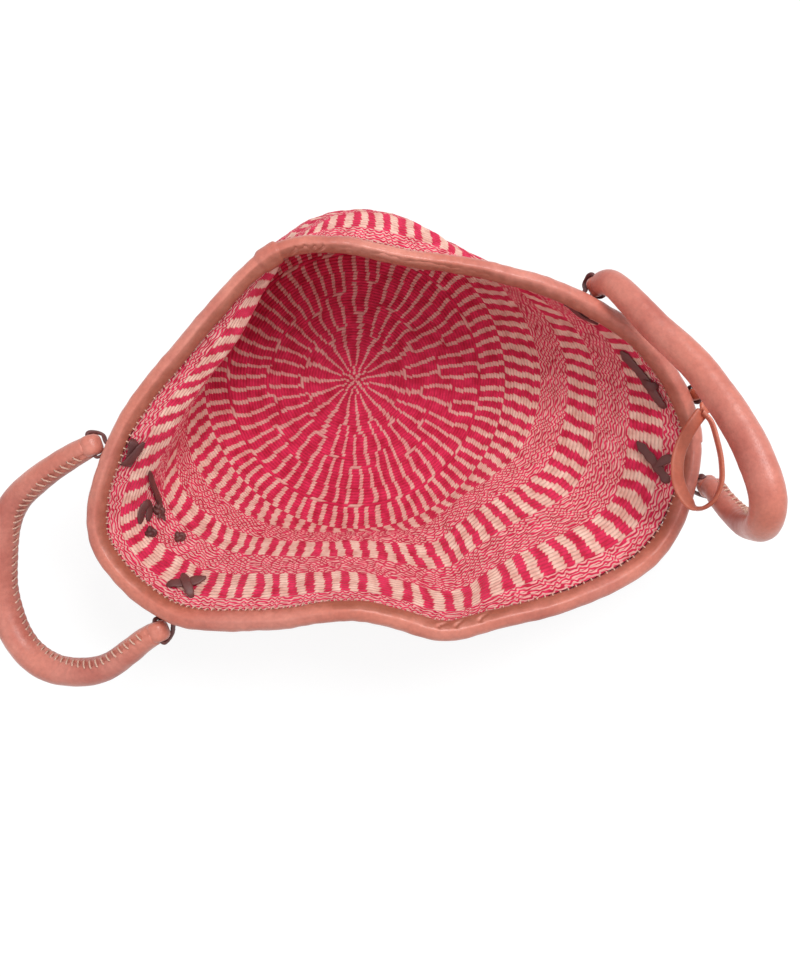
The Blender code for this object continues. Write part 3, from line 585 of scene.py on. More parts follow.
def leather_material(name, dark_tone, light_tone, warm_tone, roughness, warm_share=0.5, painted_inner_shade_tone=None):
    """Hide: patchy tone from slow noise, pores from cells, creases from stretched noise, and, with an inner tone,
    painted shade on the side facing the rim's middle.
    """
    material, tree, shader = new_material(name)
    place = add(tree, "TexCoord").outputs["Object"]
    patch = add(tree, "TexNoise", {"Vector": place, "Scale": 30.0, "Detail": 3.0})
    patch = add(tree, "MapRange", (patch, 0.32, 0.68, 0.0, 1.0))
    warm = add(tree, "TexNoise", {"Vector": place, "Scale": 14.0, "Detail": 1.0})
    warm = add(tree, "MapRange", (warm, 0.42, 0.66, 0.0, warm_share))
    mottle = add(tree, "TexNoise", {"Vector": place, "Scale": 420.0, "Detail": 3.0})
    mottle = add(tree, "MapRange", (mottle, 0.3, 0.7, 0.90, 1.06))
    tone = add(tree, "Mix", {0: patch, 6: linear(dark_tone), 7: linear(light_tone)}, data_type="RGBA")
    tone = add(tree, "Mix", {0: warm, 6: tone.outputs[2], 7: linear(warm_tone)}, data_type="RGBA")
    # painted shade: where the surface faces the middle of the rim, the colour moves towards the darker inner tone
    if painted_inner_shade_tone:
        from_middle = add(tree, "VectorMath", (place, rim_middle), operation="SUBTRACT")
        from_middle = add(tree, "VectorMath", (from_middle, (1.0, 1.0, 0.0)), operation="MULTIPLY")
        from_middle = add(tree, "VectorMath", (from_middle,), operation="NORMALIZE")
        side = add(tree, "TexCoord").outputs["Normal"]
        facing = add(tree, "VectorMath", (side, from_middle), operation="DOT_PRODUCT").outputs["Value"]
        inner = add(tree, "MapRange", (facing, -0.30, -0.80, 0.0, 0.75), interpolation_type="SMOOTHSTEP")
        tone = add(tree, "Mix", {0: inner, 6: tone.outputs[2], 7: linear(painted_inner_shade_tone)}, data_type="RGBA")
    tone = add(tree, "Mix", {0: 1.0, 6: tone.outputs[2], 7: mottle}, data_type="RGBA", blend_type="MULTIPLY")
    pores = add(tree, "TexVoronoi", {"Vector": place, "Scale": 1100.0})
    pores = add(tree, "MapRange", (pores, 0.0, 0.45, 0.0, 1.0))
    crease = add(tree, "TexNoise", {"Vector": place, "Scale": 240.0, "Detail": 4.0, "Distortion": 0.6})
    grain = add(tree, "Math", (crease, 2.2, pores), operation="MULTIPLY_ADD")
    bump = add(tree, "Bump", {"Height": grain, "Strength": 0.35, "Distance": 0.0003})
    gloss = add(tree, "MapRange", (patch, 0.0, 1.0, roughness + 0.08, roughness - 0.06))
    tree.links.new(tone.outputs[2], shader.inputs["Base Color"])
    tree.links.new(gloss.outputs[0], shader.inputs["Roughness"])
    tree.links.new(bump.outputs[0], shader.inputs["Normal"])
    shader.inputs["IOR"].default_value = 1.45
    shader.inputs["Coat Weight"].default_value = 0.18
    shader.inputs["Coat Roughness"].default_value = 0.30
    return material


tan_leather = leather_material("vegetable_tanned_leather", "B56154", "D88A7A", "D2765E", 0.36)
# the rim roll gets painted shade, a darker brown on its inner side
rim_leather_finish = leather_material("folded_rim_leather", "B56154", "D88A7A", "D2765E", 0.36, painted_inner_shade_tone="96543F")
orange_leather = leather_material("vegetable_tanned_strap", "B95A42", "D27A62", "D3623F", 0.40, 0.8)
dark_leather = leather_material("dark_oiled_leather", "4E2527", "784642", "63322F", 0.58)


def fibre_material(name, dark_tone, light_tone, twist):
    """Twisted thread or rope: slanted light and dark strands read from the piece's own UV."""
    material, tree, shader = new_material(name)
    uv = add(tree, "UVMap", uv_map="surface")
    strands = add(tree, "Mapping", {"Vector": uv, "Rotation": (0.0, 0.0, 0.6), "Scale": (twist, twist, 1.0)})
    strands = add(tree, "TexWave", {"Vector": strands, "Scale": 1.0, "Distortion": 0.8, "Detail": 1.0})
    tone = add(tree, "Mix", {0: strands, 6: linear(dark_tone), 7: linear(light_tone)}, data_type="RGBA")
    bump = add(tree, "Bump", {"Height": strands, "Strength": 0.5, "Distance": 0.0002})
    tree.links.new(tone.outputs[2], shader.inputs["Base Color"])
    tree.links.new(bump.outputs[0], shader.inputs["Normal"])
    shader.inputs["Roughness"].default_value = 0.75
    return material


waxed_thread = fibre_material("waxed_linen_thread", "C99684", "F2CDB8", 6.0)
print("leathers and thread are ready")

# %% [markdown]
# ## Rim roll
# A strip of leather is folded over the raw edge of the weave, round a rope that fills it,
# and sewn through both its edges. A tube would look like plumbing. So the profile is an open
# ring carried round the rim, with its edges drawn in at each stitch, slow dents along it, and
# a doubled stretch where the two ends of the strip lap over each other.

# %% Rim roll as an open ring carried round the rim
rim_radius = 0.007
leather = 0.0018
rim_stations = 1140
rim_outer_lines = 34
rim_inner_lines = 12
rim_stitch_pitch = 0.0044
rim_thin_shares = (0.05, 0.06, 0.12, 0.20, 0.26, 0.26, 0.18, 0.14, 0.14, 0.08, 0.04, 0.05, 0.08, 0.08, 0.06, 0.05)
rim_pucker = 0.0005
rim_dent = 0.0006
rim_inside_room = 0.0006
rim_crest = 0.0006
rim_flat = 0.0007
fold_depth = 0.0013
fold_turn_shares = (0.352, 0.343, 0.334, 0.326, 0.812, 0.822, 0.836)
lap_turn_share = 0.362
lap_width_share = 0.014
lap_step = 0.0013
rim_stitches = int(rim_length / rim_stitch_pitch)


def smooth_step(low, high, value):
    """0 below low, 1 above high, and the cubic 3t^2 - 2t^3 between."""
    t = np.clip((value - low) / (high - low), 0, 1)
    return t * t * (3 - 2 * t)


def rim_skin(turn, angle):
    """Radius of the outer skin: round, less puckers, dents and folds, plus a crest and the lap."""
    _, _, up, outward = rim_centre(turn)
    from_top = (angle - np.pi + np.arctan2(outward[..., 2], up[..., 2]) + np.pi) % (2 * np.pi) - np.pi
    crest = rim_crest * np.exp(-((from_top - 0.10) / 0.20) ** 2) - rim_flat * np.exp(-((from_top - 0.95) / 0.5) ** 2)
    fold = sum(np.exp(-((turn - share + 0.004 * np.sin(3 * from_top)) / 0.0011) ** 2) for share in fold_turn_shares)
    fold = fold_depth * fold * np.exp(-((from_top - 0.75) / 0.55) ** 2)
    pucker = 0.5 + 0.5 * np.cos(2 * np.pi * turn * rim_stitches)
    edge = np.minimum(angle, 2 * np.pi - angle)
    near_edge = np.exp(-((edge - 0.3) / 0.55) ** 2)
    dents = waves(26 * turn, angle / 5, 7) + 0.5 * waves(90 * turn, angle / 3, 8)
    lap = smooth_step(lap_turn_share, lap_turn_share + 0.0022, turn)
    lap = lap * (1 - smooth_step(lap_turn_share + lap_width_share, lap_turn_share + lap_width_share + 0.004, turn))
    thin = around(rim_thin_shares, turn)[..., 0] * rim_radius
    return (rim_radius - thin - rim_pucker * pucker * near_edge + rim_dent * (dents - 0.5) * 0.6
            + lap_step * lap + crest - fold)


def rim_point(turn, angle, radius):
    """Point round the rim's centre: angle is counted from straight down, outward first."""
    centre, _, up, outward = rim_centre(turn)
    return centre + radius[..., None] * (np.sin(angle)[..., None] * outward - np.cos(angle)[..., None] * up)


def make_rim_roll():
    """Open ring section: outer skin one way round, inner skin back, welded into a closed strip."""
    turns = np.arange(rim_stations) / rim_stations
    slit = math.asin((wall / 2 + clearance) / rim_radius)
    outer = np.linspace(slit, 2 * np.pi - slit, rim_outer_lines)
    inner = np.linspace(2 * np.pi - slit * 1.3, slit * 1.3, rim_inner_lines)
    angle, turn = np.meshgrid(np.concatenate([outer, inner]), turns)
    radius = rim_skin(turn, angle)
    radius[:, rim_outer_lines:] = rim_radius - leather - rim_inside_room
    radius[:, [0, rim_outer_lines - 1]] -= leather * 0.35
    along = np.arange(rim_stations + 1) / rim_stations * rim_length / 0.05
    across = np.linspace(0, 1, rim_outer_lines + rim_inner_lines + 1)
    return surface("rim_leather", rim_point(turn, angle, radius), across, along, rim_leather_finish,
                   wrap_rows=True, wrap_columns=True)


rim_leather = make_rim_roll()
finish_piece(rim_leather, "basket", "tan_leather", "rim_binding")


# %% Short stitches as many small tubes at once
thread_radius = 0.00048
stitch_sides = 6


def many_tubes(name, paths, reference, radius, sides, finish):
    """Round tubes along many short paths, n by stations by 3, narrowed to a point at both ends."""
    tangent = unit(np.gradient(paths, axis=1))
    side = unit(np.cross(tangent, reference))
    other = np.cross(tangent, side)
    angle = 2 * np.pi * np.arange(sides)[:, None] / sides
    ring = np.cos(angle) * side[:, :, None] + np.sin(angle) * other[:, :, None]
    taper = np.ones(paths.shape[1])
    taper[[0, -1]] = 0
    places = paths[:, :, None] + (radius * taper)[None, :, None, None] * ring
    return surface(name, places, np.arange(sides + 1) / sides, np.linspace(0, 2, paths.shape[1]),
                   finish, wrap_columns=True)


def make_rim_stitches():
    """At both edges of the leather a short thread goes from the skin down into the weave."""
    turn = (np.arange(rim_stitches)[:, None] + 0.5) / rim_stitches + np.linspace(-0.0006, 0.0006, 6)
    paths = []
    for inward in (False, True):
        angle = np.linspace(0.95 if inward else 0.62, 0.20, 6) + np.zeros_like(turn)
        lift = np.array([-0.0012, 0.0002, 0.0005, 0.0006, 0.0005, -0.0010])
        angle = 2 * np.pi - angle if inward else angle
        path = rim_point(turn, angle, rim_skin(turn, angle) + lift)
        paths.append(path)
    paths = np.concatenate(paths)
    centre = rim_centre(turn[:, :1])[1]
    return many_tubes("rim_stitches", paths, np.concatenate([centre, centre]), thread_radius,
                      stitch_sides, waxed_thread)


rim_sewing = make_rim_stitches()
finish_piece(rim_sewing, "basket", "pale_thread", "rim_stitching")

# %% [markdown]
# ## Handles
# Each handle is a rope with leather sewn round it. The strip is closed with a whip stitch on
# the inner side of the bow, and every stitch pulls the two edges in, so the seam is a row of
# small puffs. The seam isn't straight: it turns up where the handle leaves the rim. The
# profile is a circle whose radius grows to the middle, less a groove along the seam angle.

# %% Path of a handle
handle_end_radius = 0.007
handle_middle_radius = 0.0096
handle_fullness = 0.8
handle_samples = 400
knuckle_radius = 0.0068
knuckle_length = 0.013
hinge_reach = 0.0165
hinge_drop = 0.008
left_handle_reach = 0.107
right_handle_reach = 0.0965
left_handle_turn_shares = (0.512, 0.624)
right_handle_turn_shares = (0.112, -0.022)
left_handle_tilt = math.radians(-20.0)
right_handle_tilt = math.radians(88.0)
left_handle_shares = (
    (0.0, 0.0, 0.0), (0.01, 0.12, 0.0), (0.03, 0.27, 0.0), (0.06, 0.44, 0.0), (0.12, 0.64, 0.0),
    (0.23, 0.79, 0.0), (0.44, 0.93, 0.0), (0.60, 0.99, 0.0), (0.77, 1.0, 0.0), (0.92, 0.94, 0.0),
    (1.03, 0.81, 0.0), (1.09, 0.62, 0.0), (1.10, 0.43, 0.0), (1.06, 0.25, 0.0), (1.02, 0.11, 0.0),
    (1.0, 0.0, 0.0))
right_handle_shares = (
    (0.0, 0.0, 0.0), (0.01, 0.12, 0.03), (0.09, 0.25, 0.04), (0.22, 0.38, 0.05), (0.42, 0.57, 0.09),
    (0.62, 0.76, 0.065), (0.78, 0.91, 0.01), (0.93, 0.99, -0.07), (1.03, 0.89, -0.12),
    (1.08, 0.67, -0.10), (1.09, 0.44, -0.07), (1.04, 0.20, -0.03), (1.01, 0.09, 0.0),
    (1.0, 0.0, 0.0))


def smooth_path(points, count):
    """Even places on the Catmull-Rom curve through the points, and the curve's length."""
    knots = np.asarray(points, float)
    knots = np.vstack([2 * knots[0] - knots[1], knots, 2 * knots[-1] - knots[-2]])
    spans = len(knots) - 3
    t = np.linspace(0.0, spans, 30 * spans + 1)
    first = np.minimum(t.astype(int), spans - 1)
    t = (t - first)[:, None]
    a, b, c, d = (knots[first + k] for k in range(4))
    curve = 0.5 * (2 * b + (c - a) * t + (2 * a - 5 * b + 4 * c - d) * t ** 2
                   + (3 * b - a - 3 * c + d) * t ** 3)
    run = np.concatenate([[0.0], np.cumsum(np.linalg.norm(np.diff(curve, axis=0), axis=1))])
    want = np.linspace(0.0, run[-1], count)
    return np.stack([np.interp(want, run, curve[:, k]) for k in range(3)], 1), run[-1]


def hinge_point(turn, reach, drop):
    """Point beside the rim: level reach outward from its centre and a drop below it."""
    centre, along, _, _ = rim_centre(turn)
    return centre + unit(np.cross(along, up_axis)) * reach - up_axis * drop


def handle_frame(turn_shares, tilt):
    """Hinge points, and unit directions along the hinge line, out along the tilt, and aside."""
    start, end = (hinge_point(turn, hinge_reach, hinge_drop) for turn in turn_shares)
    along = unit(end - start)
    level = unit(np.cross(along, up_axis))
    level = -level if level @ (start + end) < 0 else level
    rise = np.cross(level, along)
    rise = -rise if rise[2] < 0 else rise
    out = level * math.cos(tilt) + rise * math.sin(tilt)
    return start, end, along, out, level * math.sin(tilt) - rise * math.cos(tilt)


class Handle:
    """Path of one handle, with the direction into its bow and the one across it at any share."""

    def __init__(self, turn_shares, shares, reach, tilt):
        self.start, self.end, self.hinge_axis, out, aside = handle_frame(turn_shares, tilt)
        chord = np.linalg.norm(self.end - self.start)
        route = [self.start + self.hinge_axis * chord * a + out * reach * o + aside * reach * s
                 for a, o, s in shares]
        self.fine, self.length = smooth_path(route, handle_samples)
        self.plane = np.cross(self.hinge_axis, out)
        middle = (self.start + self.end) / 2
        place, tangent, cross, inward = self.frame(np.array([0.5]), 1.0)
        self.turned = -1.0 if inward[0] @ (middle - place[0]) < 0 else 1.0
        self.lift = 1.0 if cross[0, 2] > 0 else -1.0

    def frame(self, share, turned=None):
        """Place, tangent, cross (towards the camera side) and inward direction at the shares."""
        own = np.linspace(0.0, 1.0, handle_samples)
        place = np.stack([np.interp(share, own, self.fine[:, k]) for k in range(3)], -1)
        slope = np.gradient(self.fine, axis=0)
        tangent = unit(np.stack([np.interp(share, own, slope[:, k]) for k in range(3)], -1))
        cross = unit(self.plane - tangent * (tangent @ self.plane)[..., None])
        inward = np.cross(tangent, cross) * (self.turned if turned is None else turned)
        return place, tangent, cross * (1.0 if turned is not None else self.lift), inward


left_handle = Handle(left_handle_turn_shares, left_handle_shares, left_handle_reach, left_handle_tilt)
right_handle = Handle(right_handle_turn_shares, right_handle_shares, right_handle_reach, right_handle_tilt)
print("handles", round(left_handle.length * 1000), "and", round(right_handle.length * 1000), "mm long")

# %% Leather tube with a whip-stitched seam
handle_stations = 760
handle_lines = 44
whip_pitch = 0.0056
whip_slant = 0.0030
whip_half_angle = 0.40
whip_steps = 9
seam_groove = 0.0011
seam_puff = 0.0006
seam_end_room = 0.0095
end_close = 0.004
seam_turn_stations = np.array([0.0, 0.14, 0.24, 0.34, 0.62, 0.72, 0.82, 1.0])
left_seam_turns = np.radians([52.0, 46.0, 20.0, -12.0, -16.0, 12.0, 52.0, 74.0])
right_seam_turns = np.radians([-20.0, -12.0, -8.0, -8.0, -14.0, 0.0, 34.0, 44.0])


def stitch_pitch(handle):
    """Pitch that fits a whole number of stitches between the two end rooms."""
    run = handle.length - 2 * seam_end_room
    return run / round(run / whip_pitch)


def handle_skin(handle, share, angle, seam_turns, seed):
    """Radius of the tube: fuller in the middle, grooved and puffed at the seam, with soft dents."""
    full = handle_end_radius + (handle_middle_radius - handle_end_radius) * np.sin(
        np.pi * np.clip(share, 0, 1)) ** handle_fullness
    run = share * handle.length
    from_seam = (angle - np.interp(share, seam_turn_stations, seam_turns) + np.pi) % (2 * np.pi) - np.pi
    beat = np.abs(np.sin(np.pi * (run - seam_end_room) / stitch_pitch(handle)))
    groove = seam_groove * np.exp(-(from_seam / 0.13) ** 2)
    puff = seam_puff * (beat - 0.45) * np.exp(-(from_seam / 0.55) ** 2)
    crease = 0.00012 * waves(run / 0.02, angle / 6, seed) + 0.0003 * waves(run / 0.11, angle / 9, seed + 1)
    flat = 1 - 0.03 * np.cos(2 * (angle - 0.5))
    end = np.minimum(run, handle.length - run)
    closed = np.sqrt(np.clip(end / end_close, 0, 1) * (2 - np.clip(end / end_close, 0, 1)))
    return (full * flat - groove + puff + crease) * closed


def handle_point(handle, share, angle, radius):
    """Point on a handle: angle is counted from the bow's inner side towards the camera side."""
    place, _, cross, inward = handle.frame(share)
    return place + radius[..., None] * (np.cos(angle)[..., None] * inward + np.sin(angle)[..., None] * cross)


def make_handle(side, handle, seam_turns, seed):
    """Leather tube, rolled eyes at both ends, and the whip stitches of one handle."""
    share = np.linspace(0.0, 1.0, handle_stations)
    turn = 2 * np.pi * np.arange(handle_lines) / handle_lines
    angle, share_grid = np.meshgrid(turn, share)
    radius = handle_skin(handle, share_grid, angle, seam_turns, seed)
    tube = surface("tube", handle_point(handle, share_grid, angle, radius),
                   np.arange(handle_lines + 1) / handle_lines, share * handle.length / 0.05,
                   tan_leather, wrap_columns=True)
    eyes = [rolled_eye(point, handle.hinge_axis, knuckle_radius, knuckle_length, tan_leather)
            for point in (handle.start, handle.end)]
    cover = merge(side + "_handle_leather", [tube] + eyes)
    finish_piece(cover, side + "_handle", "tan_leather", side + "_handle_cover")

    middle = np.arange(seam_end_room, handle.length - 0.99 * seam_end_room, stitch_pitch(handle))[:, None]
    step = np.linspace(-1.0, 1.0, whip_steps)
    seam = np.interp(middle / handle.length, seam_turn_stations, seam_turns)
    stitch_share = (middle + whip_slant / 2 * step) / handle.length
    stitch_angle = seam + whip_half_angle * step
    lift = 0.0004 - 0.0016 * np.abs(step) ** 6
    skin = handle_skin(handle, stitch_share, seam + 0.5 + 0 * step, seam_turns, seed)
    path = handle_point(handle, stitch_share, stitch_angle, skin + lift)
    _, _, _, inward = handle.frame(stitch_share[:, :1])
    seam_piece = many_tubes(side + "_handle_stitches", path, inward + 0.3, thread_radius * 1.15,
                            stitch_sides, waxed_thread)
    finish_piece(seam_piece, side + "_handle", "pale_thread", side + "_handle_seam")


def rolled_eye(point, axis, radius, length, finish):
    """Leather rolled into an eye: a ring profile turned about the hinge axis."""
    bore = thong_radius + clearance
    half = length / 2
    bend = np.linspace(0, np.pi / 2, 5)
    corner = eye_corner_share * radius
    outer_z = np.concatenate([-half + corner - corner * np.cos(bend), half - corner + corner * np.sin(bend)])
    outer_r = np.concatenate([radius - corner + corner * np.sin(bend), radius - corner + corner * np.cos(bend)])
    profile_z = np.concatenate([outer_z, [half, -half]])
    profile_r = np.concatenate([outer_r, [bore, bore]])
    one = unit(np.cross(axis, up_axis))
    two = np.cross(axis, one)
    turn = 2 * np.pi * np.arange(28)[:, None, None] / 28
    around_axis = np.cos(turn) * one + np.sin(turn) * two
    places = point + profile_z[None, :, None] * axis + profile_r[None, :, None] * around_axis
    return surface("eye", places, np.linspace(0, 1, len(profile_z) + 1), np.arange(29) / 28,
                   finish, wrap_rows=True, wrap_columns=True)


thong_radius = 0.00175
eye_corner_share = 0.62
make_handle("left", left_handle, left_seam_turns, 21)
make_handle("right", right_handle, right_seam_turns, 31)

# %% [markdown]
# ## Thongs
# The handles and the loop are tied on with strips of dark leather that go through the wall
# and cross on its inner side. A strip is flat, so a round tube would be wrong: its section is
# a rounded rectangle, carried along the path with as little twist as possible, and it only
# gets round where it is squeezed through the rolled eye.

# %% Routes of the thongs
hole_half_spacing = 0.0086
under_rim_room = 0.0022
leg_start_share = 0.35
thong_lift = 0.0009
thong_stations = 190
thong_half_width = 0.0029
thong_squeezed_half = 0.0017
thong_half_thickness = 0.0008
thong_bar_radius = 0.0013
thong_bar_room = 0.0013
thong_tuck = 0.0032
thong_gather_share = 0.4
thong_point = 0.0055
# reach of the holes below the rim, of the two tips, and how far the tips lie aside and apart
left_upper_inner = (0.0100, (0.0150, 0.0175), 0.003, 0.0085)
left_lower_inner = (0.0135, (0.0290, 0.0250), 0.002, 0.0075)
right_upper_inner = (0.0130, (0.0180, 0.0160), -0.004, 0.0130)
right_lower_inner = (0.0125, (0.0390, 0.0240), 0.001, 0.0060)
loop_inner = (0.0135, (0.0300, 0.0240), 0.0200, 0.0100)


def lashing_route(turn, bar_centre, bar_axis, bar_half, spacing, knuckle, inner):
    """Points of a thong: tip, crossing, wall hole, under the rim, through the eye, and back."""
    reach, tip_reaches, shift, spread = inner
    hole_row = row_below_rim(turn, reach)
    bar_axis = bar_axis if bar_axis @ rim_centre(turn)[1] > 0 else -bar_axis
    hole = on_wall(turn, hole_row, wall) - bar_centre
    inward = unit(hole - bar_axis * (hole @ bar_axis))
    below = np.cross(bar_axis, inward)
    below = unit(inward - below * np.sign(below[2]))
    aside = below * (knuckle + thong_bar_radius + thong_lift)
    lift = thong_half_thickness + 0.0007
    strands, holes = [], []
    for side, tip_reach, raise_by in ((-1.0, tip_reaches[0], 0.0), (1.0, tip_reaches[1], 2 * thong_half_thickness + 0.0004)):
        hole_turn = turn + turn_for(side * spacing, turn, hole_row)
        tip_row = row_below_rim(turn, tip_reach)
        tip_turn = turn + turn_for(shift - side * spread, turn, tip_row)
        cross_turn, cross_row = (hole_turn + tip_turn) / 2, (hole_row + tip_row) / 2
        centre, along, _, _ = rim_centre(turn + turn_for(side * spacing * thong_gather_share, turn, rim_rows))
        middle = (bar_centre + on_wall(turn, hole_row, wall)) / 2 - rim_centre(turn)[0]
        middle = middle - along * (middle @ along)
        least = rim_radius + thong_radius + under_rim_room
        under = centre + unit(middle) * max(least, np.linalg.norm(middle))
        holes.append(on_wall(hole_turn, hole_row, 0.0))
        strands.append([
            on_wall(tip_turn, tip_row, -lift),
            on_wall(cross_turn, cross_row, -lift - raise_by),
            on_wall(hole_turn + (cross_turn - hole_turn) * 0.25, hole_row + (cross_row - hole_row) * 0.25, -lift - 0.0006),
            on_wall(hole_turn, hole_row, 0.0),
            on_wall(hole_turn, hole_row, wall + thong_lift),
            under,
            bar_centre + bar_axis * side * (bar_half - thong_tuck) + aside,
            bar_centre + bar_axis * side * bar_half + aside * leg_start_share])
    inner_bar = bar_axis * (bar_half - thong_radius / 2)
    bar = [bar_centre - inner_bar, bar_centre, bar_centre + inner_bar]
    return strands[0] + bar + strands[1][::-1], holes


def carried(path, first, last):
    """Flat side of a strip: a direction carried from each end to the middle with least twist."""
    tangent = unit(np.gradient(path, axis=0))
    flat = np.zeros_like(path)
    half = len(path) // 2
    for start, stop, step, seed in ((0, half, 1, first), (len(path) - 1, half - 1, -1, last)):
        held = seed
        for i in range(start, stop, step):
            held = unit(held - tangent[i] * (held @ tangent[i]))
            flat[i] = held
    return flat, np.cross(tangent, flat)


def rounded_strip(name, path, flat, wide, half_thick, half_wide, lines, finish, closed=False):
    """Strip with a superellipse section: |x|^3 + |y|^3 is one, thick along flat, wide across."""
    turn = 2 * np.pi * np.arange(lines) / lines
    x = np.sign(np.cos(turn)) * np.abs(np.cos(turn)) ** (2 / 3)
    y = np.sign(np.sin(turn)) * np.abs(np.sin(turn)) ** (2 / 3)
    places = (path[:, None] + (half_thick[:, None] * y)[..., None] * flat[:, None]
              + (half_wide[:, None] * x)[..., None] * wide[:, None])
    return surface(name, places, np.arange(lines + 1) / lines, np.linspace(0, 4, len(path) + closed),
                   finish, wrap_rows=closed, wrap_columns=True)


def make_lashing(name, turn, bar_centre, bar_axis, bar_half, spacing, knuckle, inner, body_node):
    """One flat thong, wide and pointed on the inner side, narrow where it passes hole and eye."""
    route, holes = lashing_route(turn, bar_centre, bar_axis, bar_half, spacing, knuckle, inner)
    path, length = smooth_path(route, thong_stations)
    outward = wall_frame(turn, rim_rows - 10)[3]
    flat, wide = carried(path, outward, outward)
    run = np.linspace(0, length, thong_stations)
    first, second = (run[np.linalg.norm(path - hole, axis=1).argmin()] for hole in holes)
    inside = smooth_step(-0.0005, 0.0030, np.maximum(first - run, run - second))
    at_bar = np.exp(-((run / length - 0.5) / 0.10) ** 4)
    half_thick = thong_half_thickness + (thong_bar_radius - thong_half_thickness) * at_bar
    half_wide = thong_squeezed_half + (thong_half_width - thong_squeezed_half) * inside
    half_wide = half_wide + (thong_bar_radius - half_wide) * at_bar
    half_wide = half_wide * (1 + 0.16 * waves(run / 0.006, 0 * run, len(name)))
    end = np.clip(np.minimum(run, length - run) / thong_point, 0, 1)
    half_wide = half_wide * (0.18 + 0.82 * end ** 0.8)
    half_wide[[0, -1]] = 0
    half_thick[[0, -1]] = 0
    strip = rounded_strip(name, path, flat, wide, half_thick, half_wide, 16, dark_leather)
    finish_piece(strip, "basket", "dark_leather", body_node)


bar_half = knuckle_length / 2 + thong_bar_room
for side, handle, turns, inners in (
        ("left", left_handle, left_handle_turn_shares, (left_upper_inner, left_lower_inner)),
        ("right", right_handle, right_handle_turn_shares, (right_upper_inner, right_lower_inner))):
    for which, turn, point, inner in (("upper", turns[0], handle.start, inners[0]),
                                      ("lower", turns[1], handle.end, inners[1])):
        make_lashing("_".join((side, which, "thong")), turn, point, handle.hinge_axis, bar_half,
                     hole_half_spacing, knuckle_radius, inner, "_".join((side, which, "lashing")))

# %% [markdown]
# ## Closure loop
# A strap with rounded edges stands up at the rim and bends round into a long eye that the
# button goes through. Its flat side turns as it goes round, so the path carries a frame whose
# lean changes from the near side of the eye to the far one.

# %% Closure loop
strap_width = 0.0085
strap_thickness = 0.0026
loop_hinge_turn_share = 0.026
loop_hinge_reach = 0.0135
loop_hinge_drop = 0.008
loop_knuckle_radius = 0.0045
loop_hole_half_spacing = 0.0072
loop_size = 0.076
loop_stations = 180
stem_stations = 40
strap_lean_low = math.radians(-8.0)
strap_lean_high = math.radians(78.0)
loop_neck_shares = ((0.0, 0.0, 0.0), (0.02, 0.0, 0.20), (0.0, -0.07, 0.36))
loop_eye_shares = (
    (-0.11, -0.20, 0.48), (-0.22, -0.34, 0.52), (-0.32, -0.54, 0.55), (-0.33, -0.75, 0.56),
    (-0.26, -0.91, 0.57), (-0.17, -0.98, 0.57), (-0.06, -0.925, 0.57), (0.01, -0.785, 0.57),
    (0.015, -0.60, 0.56), (-0.015, -0.42, 0.54), (-0.05, -0.28, 0.51))


def make_loop():
    """Eye strap, stem and rolled eye of the closure loop."""
    point = hinge_point(loop_hinge_turn_share, loop_hinge_reach, loop_hinge_drop)
    axis = unit(rim_centre(loop_hinge_turn_share)[1] * np.array([1.0, 1.0, 0.0]))
    neck = [point + loop_size * np.array(share) for share in loop_neck_shares]
    eye = [point + loop_size * np.array(share) for share in loop_eye_shares]
    path = smooth_path(eye + [eye[0]], loop_stations + 1)[0][:-1]
    tangent = unit(np.roll(path, -1, 0) - np.roll(path, 1, 0))
    away = path - path.mean(0)
    away = unit(away - tangent * np.sum(away * tangent, axis=1)[:, None])
    near_side = 0.5 + 0.5 * unit(away * np.array([1.0, 1.0, 0.0])) @ unit(np.array([-1.0, 0.25, 0.0]))
    lean = (strap_lean_low + (strap_lean_high - strap_lean_low) * smooth_step(0.42, 0.95, near_side))[:, None]
    across = up_axis * np.cos(lean) + away * np.sin(lean)
    across = unit(across - tangent * np.sum(across * tangent, axis=1)[:, None])
    full = np.ones(loop_stations)
    strap = rounded_strip("strap", path, np.cross(tangent, across), across, full * strap_thickness / 2,
                          full * strap_width / 2, 18, orange_leather, closed=True)
    stem_path = smooth_path(neck + [eye[0]], stem_stations)[0]
    stem_tangent = unit(np.gradient(stem_path, axis=0))
    face = unit(axis - stem_tangent * (stem_tangent @ axis)[:, None])
    full = np.sqrt(np.clip(np.minimum(np.arange(stem_stations), stem_stations - 1 - np.arange(stem_stations)) / 3, 0, 1))
    stem = rounded_strip("stem", stem_path, np.cross(stem_tangent, face), face, full * strap_thickness * 0.65,
                         full * strap_width * 0.485, 18, orange_leather)
    eye_piece = rolled_eye(point, axis, loop_knuckle_radius, strap_width, orange_leather)
    loop = merge("closure_strap", [strap, stem, eye_piece])
    finish_piece(loop, "closure_loop", "tan_leather", "closure_loop")
    return point, axis


loop_point, loop_axis = make_loop()
make_lashing("closure_loop_thong", loop_hinge_turn_share, loop_point, loop_axis,
             strap_width / 2 + thong_bar_room, loop_hole_half_spacing, loop_knuckle_radius, loop_inner,
             "closure_loop_lashing")

# %% [markdown]
# ## Button and its thong
# A small turned button hangs on the outer side of the left wall, and the loop goes over it. It
# is turned wood, so its form is a profile taken round its axis, and its grain is made of
# stretched growth rings. A square-cut thong goes through its middle and the wall, and ends in
# an overhand knot on both sides. The inner knot and its cut tails are what the eye sees.

